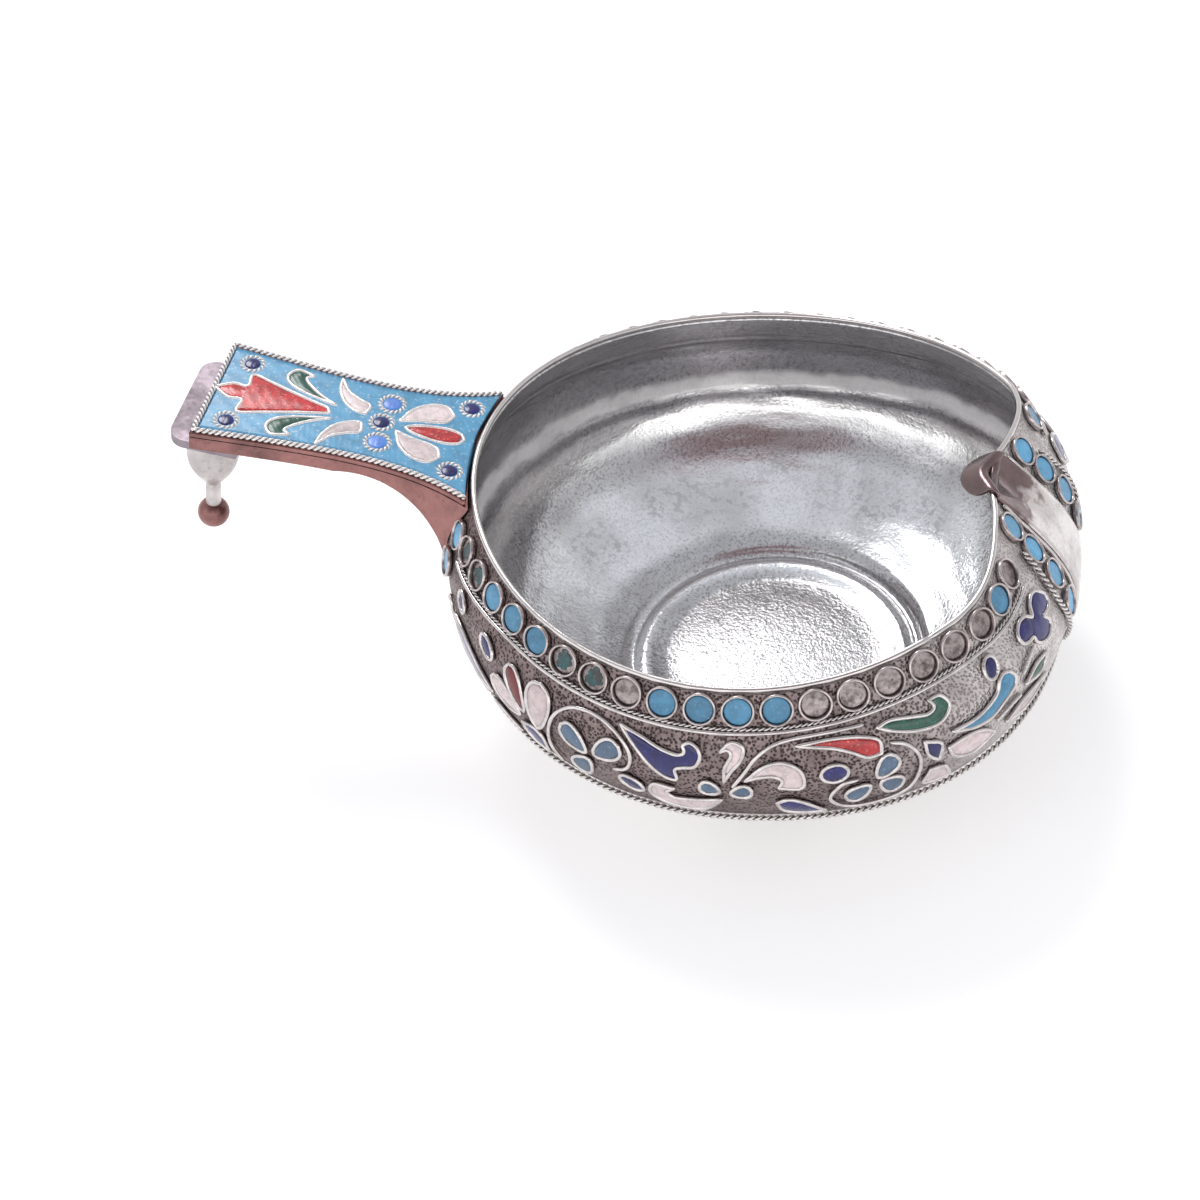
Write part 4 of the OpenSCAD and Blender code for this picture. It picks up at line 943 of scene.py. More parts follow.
def metal(name, colours):
    """Material of a metal by its name in the table, made on first use."""
    found = bpy.data.materials.get("kovsh_" + name)
    if found:
        return found
    bright, dark, low, high, cloud, grain, tarnish, depth, grooved, metallic = METALS[name]
    material, tree, shader = start_material("kovsh_" + name)
    mask = 0.0
    if grooved:
        mask = span(tree, attribute(tree, "groove"), 0.35, 0.95, 0.0, 0.92)
    height = silver_look(
        tree, shader, metallic, Bright=picked(bright, colours), Dark=picked(dark, colours), Groove=mask,
        Cloud_Scale=cloud, Grain_Scale=grain, Tarnish=tarnish, Rough_Low=low, Rough_High=high)
    relief(tree, shader, height, depth)
    return material


# Enamels: colour of the settings and the share of it in the body, second colour or its share, colour of the
# specks, roughness, mottling and its scale, scale of the specks and their amount, depth of the relief
PALE = (0.78, 0.78, 0.8, 1.0)
ENAMELS = {
    "turquoise": ("turquoise", 1, 0.55, PALE, 0.42, 0.5, 1100.0, 5200.0, 0.18, 0.00001),
    "pale_turquoise": ("turquoise", 1.6, 1, (0.8, 0.85, 0.9, 1), 0.4, 0.5, 1100.0, 5200.0, 0.25, 0.00001),
    # The handle's ground is a brighter copy of the turquoise: painted light on the handle's top
    "handle_ground": ("turquoise", 1.35, 0.75, (0.85, 0.85, 0.86, 1), 0.28, 0.5, 700.0, 3200.0, 0.4, 0.00001),
    "white": ("white", 1, 0.62, (0.9, 0.9, 0.9, 1), 0.4, 0.6, 1500.0, 5200.0, 0.5, 0.00001),
    "grey_blue": ("grey_blue", 1, 0.6, PALE, 0.5, 0.5, 1200.0, 5000.0, 0.2, 0.00001),
    "red": ("red", 1, 0.35, (0.95, 0.42, 0.34, 1), 0.22, 0.6, 1300.0, 4200.0, 0.6, 0.00001),
    "dark_red": ("dark_red", 1, 0.4, (0.5, 0.08, 0.06, 1), 0.25, 0.5, 900.0, 4000.0, 0.2, 0.00001),
    "green": ("green", 1, 0.4, (0.3, 0.5, 0.42, 1), 0.25, 0.6, 1000.0, 4200.0, 0.25, 0.00001),
    "cornflower": ("cornflower", 1, 0.6, PALE, 0.3, 0.5, 1200.0, 4200.0, 0.25, 0.00001),
    "worn": ("worn", 1, (0.05, 0.045, 0.045, 1), PALE, 0.5, 1.0, 1500.0, 4200.0, 0.15, 0.00003),
    "cobalt": ("cobalt", 1, 0.4, (0.3, 0.35, 0.7, 1), 0.2, 0.6, 900.0, 4200.0, 0.12, 0.00001),
}
COAT = 0.2
COAT_ROUGH = 0.15


def share_of(colour, share):
    """A colour made darker or lighter by a factor; a colour in place of the factor stands for itself."""
    return share if isinstance(share, tuple) else tuple(share * v for v in colour[:3]) + (1.0,)


def enamel(name, colours):
    """Material of an enamel by its name in the table, made on first use; each cell carries its own tone."""
    found = bpy.data.materials.get("kovsh_" + name)
    if found:
        return found
    key, first, second, speck, rough, mottle, mottle_scale, speck_scale, amount, depth = ENAMELS[name]
    colour = picked(key, colours)
    material, tree, shader = start_material("kovsh_" + name)
    made = use_group(
        tree, "Kovsh enamel", enamel_group, Base=share_of(colour, first), Second=share_of(colour, second),
        Speck=speck, Mottle=mottle, Mottle_Scale=mottle_scale, Speck_Scale=speck_scale, Speck_Amount=amount,
        Tone=attribute(tree, "tone"))
    feed(tree, shader.inputs["Base Color"], made.outputs["Color"])
    feed(tree, shader.inputs["Roughness"], rough)
    feed(tree, shader.inputs["Coat Weight"], COAT)
    feed(tree, shader.inputs["Coat Roughness"], COAT_ROUGH)
    relief(tree, shader, made.outputs["Height"], depth)
    return material


def ground_material(colours):
    """Stippled silver between the cells: dark punch marks, brighter towards the prow."""
    material, tree, shader = start_material("kovsh_ground")
    where = own_place(tree)
    punch = node(tree, "ShaderNodeTexVoronoi", Vector=where, Scale=3700.0).outputs["Distance"]
    pit = span(tree, punch, 0.2, 0.62, 1.0, 0.0)
    cloud = span(tree, noise(tree, where, 500.0, 4.0), 0.45, 0.7, 0.0, 0.12)
    worn = plus(tree, attribute(tree, "bright"), cloud)
    dark = times(tree, pit, span(tree, worn, 0.0, 1.0, 1.0, 0.45))
    bright = blend(tree, worn, tuple(colours.ground), tuple(colours.silver))
    height = silver_look(
        tree, shader, 1.0, Bright=bright, Dark=tuple(colours.silver_dark), Groove=dark,
        Cloud_Scale=420.0, Grain_Scale=4200.0, Tarnish=0.3, Rough_Low=0.34, Rough_High=0.55)
    relief(tree, shader, maths(tree, "SUBTRACT", height, times(tree, pit, 2.0)), 0.00003)
    return material


def interior_material(colours):
    """Planished silver inside the cup: satin with fine grain, scratches round the axis, a belt of small dark
    spots, and painted reflections as brighter rings, with painted light on the lower wall and the well's
    bead."""
    material, tree, shader = start_material("kovsh_interior")
    where = own_place(tree)
    split = node(tree, "ShaderNodeSeparateXYZ", Vector=where).outputs
    flat = node(tree, "ShaderNodeCombineXYZ", X=split["X"], Y=split["Y"]).outputs["Vector"]
    radius = node(tree, "ShaderNodeVectorMath", {"operation": "LENGTH"}, Vector=flat).outputs["Value"]
    turn = times(tree, maths(tree, "ARCTAN2", split["Y"], split["X"]), 0.004)
    round_axis = node(tree, "ShaderNodeCombineXYZ", X=radius, Y=split["Z"], Z=turn).outputs["Vector"]
    streak = noise(tree, round_axis, 2400.0, 4.0, 0.65)
    spot = noise(tree, where, 1250.0, 4.0, 0.65)
    drift = noise(tree, where, 160.0, 2.0, 0.5)
    sand = noise(tree, where, 3600.0, 2.0, 0.6)
    wave = noise(tree, where, 260.0, 2.0)
    below_rim = attribute(tree, "deep")
    deep = plus(tree, below_rim, span(tree, spot, 0.3, 0.7, -0.3, 0.3))
    ring = plus(tree, below_rim, span(tree, wave, 0.3, 0.7, -0.25, 0.25))

    # Painted reflections as brighter rings, painted light on the lower wall and a painted highlight on the
    # bead
    upper = belt(tree, ring, *UPPER_RING)
    painted_reflection_rings = plus(tree, upper, belt(tree, ring, *LOWER_RING))
    in_well = span(tree, deep, WALL_LEN - 1.2, WALL_LEN - 0.6)
    # Painted highlight on the bead of the well, and painted light on the lower wall, uneven by a cloud noise
    bead = times(tree, belt(tree, radius, *BEAD_HIGHLIGHT_RING), in_well)
    painted_wall_light = times(tree, belt(tree, ring, *PAINTED_LIGHT_BELT), span(tree, drift, 0.35, 0.65, 1.0, 0.7))
    painted_light = maths(tree, "MAXIMUM", painted_wall_light, bead)

    # Dark spots, scratches and grain, fewer where light is painted
    spotted = times(tree, belt(tree, deep, *SPOT_BELT), span(tree, drift, 0.35, 0.65, 0.16, 0.5))
    spots = times(tree, span(tree, spot, 0.5, 0.58), spotted)
    lines = times(tree, span(tree, streak, 0.48, 0.8), 0.3)
    grains = times(tree, span(tree, sand, 0.46, 0.66), 0.42)
    marks = maths(tree, "MAXIMUM", maths(tree, "MAXIMUM", spots, lines), grains)
    painted_light_mask = maths(tree, "MAXIMUM", painted_reflection_rings, times(tree, painted_light, 0.6))
    marks = times(tree, marks, span(tree, painted_light_mask, 0.0, 1.0, 1.0, 0.25))

    # Painted light whitens the body on the lower wall and the bead
    body = blend(tree, painted_light, (0.62, 0.61, 0.62, 1.0), (0.96, 0.96, 0.98, 1.0))
    # Painted reflections whiten the rings, and the upper ring is made less metallic so that it shows light
    bright = blend(tree, painted_reflection_rings, body, (0.98, 0.97, 0.96, 1.0))
    silver_look(
        tree, shader, span(tree, upper, 0.0, 1.0, 0.97, 0.3), Bright=bright, Dark=tuple(colours.silver_dark),
        Groove=marks, Cloud_Scale=150.0, Grain_Scale=2400.0, Tarnish=0.18, Rough_Low=0.14, Rough_High=0.26)
    height = plus(tree, times(tree, spot, 1.2), times(tree, streak, 0.6))
    relief(tree, shader, plus(tree, height, sand), 0.000024)
    return material


def strip_material(colours):
    """Polished silver of the prow, with a painted dark brown reflection at its upper end, with an uneven
    border.
    """
    material, tree, shader = start_material("kovsh_prow")
    uneven = span(tree, noise(tree, own_place(tree), 520.0, 4.0), 0.3, 0.7, -0.3, 0.3)
    # Painted dark brown reflection, strongest at the upper end and on the tongue
    shade = span(tree, plus(tree, attribute(tree, "shade"), uneven), 0.35, 0.75)
    bright = blend(tree, shade, tuple(colours.silver), (0.21, 0.15, 0.15, 1.0))
    height = silver_look(
        tree, shader, 1.0, Bright=bright, Dark=tuple(colours.silver_dark),
        Cloud_Scale=420.0, Grain_Scale=3200.0, Tarnish=0.3, Rough_Low=0.14, Rough_High=0.32)
    relief(tree, shader, height, 0.00001)
    return material


def border(a):
    """How far the border lies lower beside the handle."""
    return BORDER_FALL * ease((BORDER_FROM - a) / BORDER_RUN)


def dot_places():
    """Angle, distance below the rim and state of every dot cell along the rim."""
    angle = FIRST_ANGLE - np.arange(DOT_COUNT) * DOT_STEP
    s = DOT_S + border(drawn_across(angle))
    places = []
    for side in (-1, 1):
        for k in range(DOT_COUNT):
            state = "empty" if k in EMPTY[side] else "worn" if k in WORN[side] else "sound"
            places.append((side * angle[k], s[k], state))
    return places


def column_places():
    """Angle and distance below the rim of the dots beside the prow and beside the handle."""
    prow = [(COLUMN_ANGLE, COLUMN_FIRST + COLUMN_STEP * i) for i in range(4)]
    root = [(ROOT_ANGLE, ROOT_FIRST + ROOT_STEP * i) for i in range(2)]
    return [(side * th, s) for side in (-1, 1) for th, s in prow + root]


class KovshOperator:
    """What the operators share: the settings of the scene."""
    bl_options = {"REGISTER", "UNDO"}

    def settings(self, context):
        return context.scene.kovsh_sizes, context.scene.kovsh_colours


class KOVSH_OT_bowl(KovshOperator, bpy.types.Operator):
    """Builds the sheet bowl with its well and the wire on its rim"""
    bl_idname = "kovsh.bowl"
    bl_label = "Bowl"

    def execute(self, context):
        sizes, colours = self.settings(context)
        ring = crowded(RING_STEPS)
        low_s = np.linspace(WALL_LEN, BELLY_S, WALL_STEPS)[:-1]
        outer_s = np.concatenate([low_s, np.linspace(BELLY_S, 0, WALL_STEPS)])
        inner_s = outer_s[::-1]
        r_out, z_out = wall(outer_s)
        r_in, z_in = inner_wall(inner_s)
        for at, high, run in RIDGES:
            r_in = r_in - high * np.exp(-((inner_s - at) / run) ** 2)
        well_r, well_z = self.well(r_in[-1], z_in[-1])
        under_r = [CENTRE_R, BASE_R - 0.4, BASE_R]
        rows_r = np.concatenate([under_r, r_out, r_in, well_r])
        rows_z = np.concatenate([np.full(len(under_r), FOOT_RING_H), z_out, z_in, well_z])
        rim_row = len(under_r) + len(outer_s)
        row = np.arange(len(rows_r))
        inset = np.where(row < rim_row, 0, SHEET)
        deep = np.concatenate([np.zeros(rim_row), inner_s, np.full(len(well_r), WALL_LEN)])
        grid = place(rows_r[:, None], rows_z[:, None], ring[None], inset[:, None])
        in_well = row >= rim_row + len(inner_s)
        grid[..., 0] += (WELL_SHIFT * in_well * ease((FOOT_R - rows_r) / 1.5))[:, None]

        # Soft dents everywhere, and the blows of the hammer on the wall inside
        dents = ripple(0.88 * grid[..., 0], 1.3) * ripple(0.96 * grid[..., 1], 0.4)
        dents = dents * np.where(row < rim_row, 0.3, 0.5)[:, None]
        on_inside = ease((deep - 1) / 3) * ease((rows_r - 13) / 3)
        blows = planished(ring[None], deep[:, None]) * on_inside[:, None]
        swell = sizes.hammer / MM * (dents - blows)
        grid = grid + swell[..., None] * unit(grid - BOWL_HEART)

        across = drawn_across(np.abs((ring + 180) % 360 - 180))
        part = Part(grid, bright=ease((across - BRIGHT_FROM) / BRIGHT_RUN)[None], deep=deep[:, None])
        materials = [ground_material(colours), metal("satin", colours), interior_material(colours)]
        bowl = add_piece("kovsh_bowl", [part], materials, "satin_silver", "bowl")
        zone_row = len(under_r) + int(np.argmax(outer_s < BAND_LEN + ZONE_LEN))
        face_row = row[:-1].repeat(len(ring))
        index = np.where(face_row >= rim_row - 1, 2, np.where(face_row >= zone_row, 0, 1))
        index = np.concatenate([index, [1, 2]]).astype(np.int32)
        bowl.data.polygons.foreach_set("material_index", index)
        self.lip(sizes, colours)
        return {"FINISHED"}

    def well(self, edge_r, ledge):
        """Radii and heights down the edge of the well, over its bead and along the floor."""
        points = [(edge_r, ledge)]
        points += [(r, ledge - fall) for r, fall in WELL_EDGE]
        points += [(r, FLOOR_Z + high) for r, high in WELL_BEAD]
        profile = curve(points, WELL_STEPS)[1:]
        floor_r = np.linspace(WELL_BEAD[-1][0], CENTRE_R, FLOOR_STEPS)[1:]
        r = np.concatenate([profile[:, 0], floor_r])
        z = np.concatenate([profile[:, 1], np.full(len(floor_r), FLOOR_Z)])
        return r, z

    def lip(self, sizes, colours):
        """Round wire over the edge of the sheet, uneven by hand, with one small nick."""
        th = crowded(LIP_STEPS)
        path = lip_middle(th)
        uneven = ripple(np.radians(th) * 5, 0.7) + ripple(np.radians(th) * 11, 2.0)
        nick = np.exp(-((th - NICK_ANGLE) / 0.9) ** 2)
        radius = LIP_D / 2 - sizes.wobble / MM * (1 + 0.5 * uneven) - 0.08 * nick
        grid = tube(path, np.broadcast_to([0.0, 0, 1], path.shape), radius, LIP_SIDES, True)
        shine = metal("lip", colours)
        add_piece("kovsh_rim_lip", [Part(grid, wrap_u=True)], [shine], "polished_silver", "rim_lip")


class KOVSH_OT_borders(KovshOperator, bpy.types.Operator):
    """Builds the twisted and plain wires that border the ornament"""
    bl_idname = "kovsh.borders"
    bl_label = "Borders"

    def execute(self, context):
        sizes, colours = self.settings(context)
        pitch = sizes.rope_pitch / MM
        a = np.linspace(*BORDER_ENDS, BORDER_POINTS)
        s = ROPE_S + border(a)
        twisted, plain = [], []
        for side in (-1, 1):
            th = side * drawn_angle(a)
            path, up = wall_path(th, s, FINE_ROPE_D)
            twisted.append(rope(path, up, FINE_ROPE_D, pitch * FINE_TWIST, deep=FINE_CORE))
            path, up = wall_path(th, s + BORDER_GAP, WIRE_D)
            plain.append(wire(path, up, WIRE_D, sizes.wobble / MM, side + 2.0, flat=0.9))
        add_piece("kovsh_band_rope", twisted, [metal("rope", colours)], "silver_wire", "band_rope")
        add_piece("kovsh_band_wire", plain, [metal("wire", colours)], "silver_wire", "band_wire")
        th = np.arange(LOW_ROPE_POINTS) * 360 / LOW_ROPE_POINTS
        path, up = wall_path(th, BAND_LEN + ZONE_LEN + ROPE_D / 2, ROPE_D)
        low = rope(path, up, ROPE_D, pitch * COARSE_TWIST, True)
        add_piece("kovsh_lower_rope", [low], [metal("rope", colours)], "silver_wire", "lower_rope")
        return {"FINISHED"}


class KOVSH_OT_dots(KovshOperator, bpy.types.Operator):
    """Builds the row of dot cells along the rim and the dots beside the prow and the handle"""
    bl_idname = "kovsh.dots"
    bl_label = "Dots"

    def execute(self, context):
        sizes, colours = self.settings(context)
        dome = sizes.enamel_dome / MM * DOT_DOME
        collars, sound, worn = [], [], []
        for number, (th, s, state) in enumerate(dot_places()):
            axes = stand(th, s)
            seed = 1.0 + number
            collars.append(collar(axes, COLLAR_R, COLLAR_T, COLLAR_H, seed))
            if state == "sound":
                sound.append(disc(axes, DISC_R, ENAMEL_H, dome, seed))
            else:
                collars.append(dish(axes, DISC_R, seed, 1))
            if state == "worn":
                worn.append(disc(axes, DISC_R * WORN_SIZE, ENAMEL_H / 2, 0.0, seed, WORN_RAGGED))
        rings, discs = [], []
        for number, (th, s) in enumerate(column_places()):
            axes = stand(th, s)
            rings.append(collar(axes, COLLAR_R, COLLAR_T, COLLAR_H, COLUMN_SEED + number))
            discs.append(disc(axes, DISC_R, ENAMEL_H, dome, COLUMN_SEED + number))
        band = metal("collar", colours)
        floor = metal("cell_floor", colours)
        blue = enamel("turquoise", colours)
        pale_blue = enamel("pale_turquoise", colours)
        add_piece("kovsh_dot_collars", collars, [band, floor], "silver_wire", "dot_collars")
        add_piece("kovsh_dots", sound, [blue], "turquoise_enamel", "dots_turquoise")
        add_piece("kovsh_worn_dots", worn, [enamel("worn", colours)], "worn_enamel", "dots_worn")
        add_piece("kovsh_column_collars", rings, [band], "silver_wire", "column_collars")
        add_piece("kovsh_column_dots", discs, [pale_blue], "turquoise_enamel", "column_dots")
        return {"FINISHED"}


class KOVSH_OT_prow(KovshOperator, bpy.types.Operator):
    """Builds the polished strip of the prow, its edge wires and the ropes beside it"""
    bl_idname = "kovsh.prow"
    bl_label = "Prow"

    def execute(self, context):
        sizes, colours = self.settings(context)
        polished = strip_material(colours)
        add_piece("kovsh_prow_strip", [self.strip()], [polished], "polished_silver", "prow_strip")
        edges, ropes = [], []
        s = np.linspace(0.5, STRIP_END, PROW_POINTS)
        y = strip_half(s) + WIRE_D / 2 + SEAM
        p = curve(COLUMN_ROPE, PROW_POINTS)
        rope_s = BAND_LEN + p[:, 1]
        for side in (-1, 1):
            th = side * np.degrees(np.arcsin(y / wall(s)[0]))
            path, up = wall_path(th, s, WIRE_D)
            edges.append(wire(path, up, WIRE_D, sizes.wobble / MM, side + 5.0))
            th = side * np.degrees(np.arcsin(p[:, 0] / wall(rope_s)[0]))
            path, up = wall_path(th, rope_s, ROPE_D)
            ropes.append(rope(path, up, ROPE_D, sizes.rope_pitch / MM * COARSE_TWIST))
        add_piece("kovsh_prow_edges", edges, [metal("wire", colours)], "silver_wire", "prow_edge_wires")
        add_piece("kovsh_prow_ropes", ropes, [metal("rope", colours)], "silver_wire", "prow_ropes")
        return {"FINISHED"}

    def outward(self, th):
        """Level direction out of the cup at the rim."""
        return unit(skin_normal(th, 0 * th) * [1, 1, 0])

    def bend(self, th, phi, crown):
        """Points of the strip at angles phi round the lip, from outside over the top."""
        h = (LIP_D / 2 + SEAM + TONGUE_T * crown + 0 * th)[..., None]
        turn = np.broadcast_to(phi, th.shape)[..., None]
        return lip_middle(th) + h * (np.cos(turn) * self.outward(th) + np.sin(turn) * [0, 0, 1])

    def fall(self, th):
        """Direction against the fall of the tongue into the cup."""
        return math.cos(TONGUE_FALL) * self.outward(th) + np.array([0, 0, math.sin(TONGUE_FALL)])

    def strip(self):
        """Part of the strip: up the face of the prow, round over the lip, and straight on into the cup to
        a round tip."""
        right_k = np.array([0.3, 0.6, 0.85, 0.96, 0.99, 1, 1])
        right_crown = np.array([0.99, 0.98, 0.97, 0.95, 0.86, 0.62, 0])
        k = np.concatenate([-right_k[::-1], [0], right_k])
        crown = np.concatenate([right_crown[::-1], [1], right_crown])[None]
        s = np.linspace(STRIP_END, 0, 90)[:, None]
        end = np.minimum(1, np.sqrt((STRIP_END - s) / 0.3 + 0.3))
        thick = STRIP_T + (TONGUE_T - STRIP_T) * ease(1 - s / 3)
        th = np.degrees(np.arcsin(strip_half(s) * k / wall(s)[0]))
        up = on_wall(th, s, SEAM + thick * crown * end)
        phi = np.linspace(np.radians(10), np.pi / 2 + TONGUE_FALL, 14)[:, None]
        half = STRIP_HALF + (TONGUE_HALF - STRIP_HALF) * ease(phi / np.pi)
        over = self.bend(np.degrees(np.arcsin(half * k / RIM_R)), phi, crown)
        run = np.sin(np.linspace(0.08, 1, 16) * np.pi / 2)[:, None]
        half = half[-1] * np.sqrt(np.maximum(1 - run ** 2.6, 0.0004))
        th = np.degrees(np.arcsin(half * k / RIM_R))
        inward = self.bend(th, phi[-1] + 0 * th, crown) - (TONGUE_LEN * run)[..., None] * self.fall(th)
        # The upper end and the tongue carry the painted dark reflection
        rows = np.concatenate([s[:, 0], -np.ones(len(over) + len(inward))])
        return Part(np.concatenate([up, over, inward]), shade=ease(1.25 - rows / 5)[:, None])


def wired_cells(cells, put, lift, low, top, first_seed, sizes, columns=9):
    """Outline wires of cells, and for each colour the parts of the enamel in them."""
    wires, fills = [], {}
    for number, (name, edges) in enumerate(cells):
        seed = first_seed + number
        path, up = drawn_path(spaced(outline(edges), OUTLINE_POINTS, True), put, WIRE_D, lift)
        wires.append(wire(path, up, WIRE_D, sizes.wobble / MM, seed, True))
        part = cell(edges, put, WIRE_D / 2 - ENAMEL_LAP, low, top, sizes.enamel_dome / MM, seed, columns)
        fills.setdefault(name, []).append(part)
    return wires, fills


class KOVSH_OT_ornament(KovshOperator, bpy.types.Operator):
    """Builds the wire cells of the wall and the enamel in them"""
    bl_idname = "kovsh.ornament"
    bl_label = "Ornament"

    def execute(self, context):
        sizes, colours = self.settings(context)
        cells = [(leaf[0], leaf_edges(leaf)) for leaf in LEAVES]
        cells += [(petal[0], petal_edges(*petal[1:], petal[0] == "drop")) for petal in PETALS]
        outlines, stems, fills = [], [], {}
        for side, first_seed in ((-1, 3.0), (1, 53.0)):
            put = put_on_side(side)
            wires, parts = wired_cells(cells, put, SEAM, 0.0, ENAMEL_H, first_seed, sizes)
            outlines += wires
            for name in parts:
                fills.setdefault(name, []).extend(parts[name])
            for number, stem in enumerate(STEMS):
                path, up = drawn_path(spaced(curve(stem, 80), STEM_POINTS), put, WIRE_D, SEAM)
                stems.append(wire(path, up, WIRE_D, sizes.wobble / MM, 7.0 + number))
        wire_metal = [metal("wire", colours)]
        add_piece("kovsh_leaf_wires", outlines, wire_metal, "silver_wire", "leaf_wires")
        add_piece("kovsh_stem_wires", stems, wire_metal, "silver_wire", "stem_wires")
        others = {"grey_blue": "petals_grey_blue", "drop": "drops_cobalt"}
        for name, parts in fills.items():
            kind = "cobalt" if name == "drop" else name
            solid = others.get(name, "leaves_" + name)
            add_piece("kovsh_" + solid, parts, [enamel(kind, colours)], kind + "_enamel", solid)
        return {"FINISHED"}


def handle_plan(t, k, inset):
    """Points of the handle's plan: from the arc that clears the rim to the end, and across."""
    v = k * (handle_half(0.8) - inset)
    start = (np.sqrt(RIM_SPACE ** 2 - v ** 2) - ROOT_X) / math.cos(PITCH)
    u = start + t * (HANDLE_LEN - inset - start)
    return np.stack([u, k * (handle_half(u) - inset)], -1)


def slab(low, top, inset, soft, seed, rows=80, uneven=0.0):
    """Part of a flat plate over the handle's plan, with rounded long edges."""
    edge = soft / 6
    k = np.linspace(-1 + edge, 1 - edge, 25)
    loop_k = np.concatenate([[-1], k, [1], [1], k[::-1], [-1]])
    below = np.concatenate([[low + soft], np.full(len(k), low), [low + soft]])
    above = np.concatenate([[top - soft], np.full(len(k), top), [top - soft]])
    loop_w = np.concatenate([below, above])
    p = handle_plan(np.linspace(0, 1, rows)[:, None], loop_k[None], inset)
    wave = ripple(2 * p[..., 0] + 3 * p[..., 1], seed)
    w = loop_w[None] + uneven * wave * (loop_w > (low + top) / 2)[None]
    return Part(on_handle(p, w), tone=0.5)


class KOVSH_OT_handle(KovshOperator, bpy.types.Operator):
    """Builds the handle's tray, enamel ground and edge rope, and gives the plain solids their metal"""
    bl_idname = "kovsh.handle"
    bl_label = "Handle"

    def execute(self, context):
        sizes, colours = self.settings(context)
        tray = slab(-ENAMEL_H - TRAY_T, -ENAMEL_H, 0.0, 0.1, 1.0)
        add_piece("kovsh_tray", [tray], [metal("rose", colours)], "rose_silver", "handle_tray")
        ground = slab(-ENAMEL_H, -0.05, ROPE_D + SEAM, 0.02, 2.0, 160, 0.015)
        blue = enamel("handle_ground", colours)
        add_piece("kovsh_handle_ground", [ground], [blue], "turquoise_enamel", "handle_ground")
        t = np.linspace(0, 1, EDGE_POINTS)
        right = handle_plan(t, 1.0 + 0 * t, ROPE_D / 2 + 0.02)
        end = right[-1] * np.stack([1 + 0 * t, 1 - 2 * t], -1)
        path = np.vstack([right, end[1:-1], right[::-1] * [1, -1]])
        low = on_handle(path, -0.02)
        up = on_handle(path, 0.98) - low
        edge = rope(low, up, ROPE_D, sizes.rope_pitch / MM, deep=HANDLE_CORE)
        # The handle's rope is the copy of the silver with painted light
        painted_lit_silver = metal("frosted_rope", colours)
        add_piece("kovsh_handle_rope", [edge], [painted_lit_silver], "silver_wire", "handle_rope")
        for name, kind in (("handle_bracket", "rose"), ("hook_ball", "rose"), ("foot_ring", "satin"),
                           ("end_lip", "dull"), ("hook_flare", "satin"), ("hook_stem", "satin")):
            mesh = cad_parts[name].data
            mesh.materials.clear()
            mesh.materials.append(metal(kind, colours))
        return {"FINISHED"}


class KOVSH_OT_handle_cells(KovshOperator, bpy.types.Operator):
    """Builds the cells of the handle: their wires, rings and enamel"""
    bl_idname = "kovsh.handle_cells"
    bl_label = "Handle cells"

    def execute(self, context):
        sizes, colours = self.settings(context)
        flip = np.array([1.0, -1.0])
        half = curve(TULIP_EDGE, LEAF_STEPS)
        cells = [("red", (half, half * flip)), ("red", petal_edges(*RED_PETAL))]
        for leaf in HANDLE_LEAVES:
            edges = leaf_edges(leaf)
            cells.append((leaf[0], edges))
            cells.append((leaf[0], (edges[0] * flip, edges[1] * flip)))
        wires, fills = wired_cells(cells, on_handle, -ENAMEL_H, -ENAMEL_H, -0.04, 1.0, sizes, 13)
        # The handle's wires and rings are the copies of the silver with painted light
        painted_lit_silver = metal("frosted_wire", colours)
        add_piece("kovsh_handle_wires", wires, [painted_lit_silver], "silver_wire", "handle_wires")
        for name, parts in fills.items():
            solid = "handle_" + name
            add_piece("kovsh_" + solid, parts, [enamel(name, colours)], name + "_enamel", solid)
        rings = []
        dots = {"cobalt": [], "cornflower": []}
        seed = 11.0
        for name, r, places in (("cobalt", COBALT_R, COBALT_DOTS), ("cornflower", BLUE_R, BLUE_DOTS)):
            for centre in np.array(places, float):
                rings.append(self.ring(centre, r + RING_OUT, sizes))
                axes = self.stand(centre)
                dots[name].append(disc(axes, r - DOT_IN, ENAMEL_H, sizes.enamel_dome / MM, seed))
                seed += 1
        painted_lit_silver = metal("frosted_rope", colours)
        add_piece("kovsh_dot_rings", rings, [painted_lit_silver], "silver_wire", "handle_dot_rings")
        for name, solid in (("cobalt", "handle_cobalt_dots"), ("cornflower", "handle_blue_dots")):
            add_piece("kovsh_" + solid, dots[name], [enamel(name, colours)], name + "_enamel", solid)
        return {"FINISHED"}

    def ring(self, centre, radius, sizes):
        """Part of the twisted ring round a dot."""
        turn = np.arange(RING_POINTS) * 2 * np.pi / RING_POINTS
        circle = centre + radius * np.stack([np.cos(turn), np.sin(turn)], -1)
        path, up = drawn_path(circle, on_handle, RING_D, -ENAMEL_H - RING_SINK)
        return rope(path, up, RING_D, sizes.rope_pitch / MM * RING_TWIST, True, HANDLE_CORE)

    def stand(self, p):
        """Frame of a dot on the handle: centre, two directions along the tray, and normal."""
        centre = on_handle(p, -ENAMEL_H)
        e1 = unit(on_handle(p + [1, 0], -ENAMEL_H) - centre)
        n = unit(on_handle(p, 0.0) - centre)
        return centre, e1, np.cross(n, e1), n


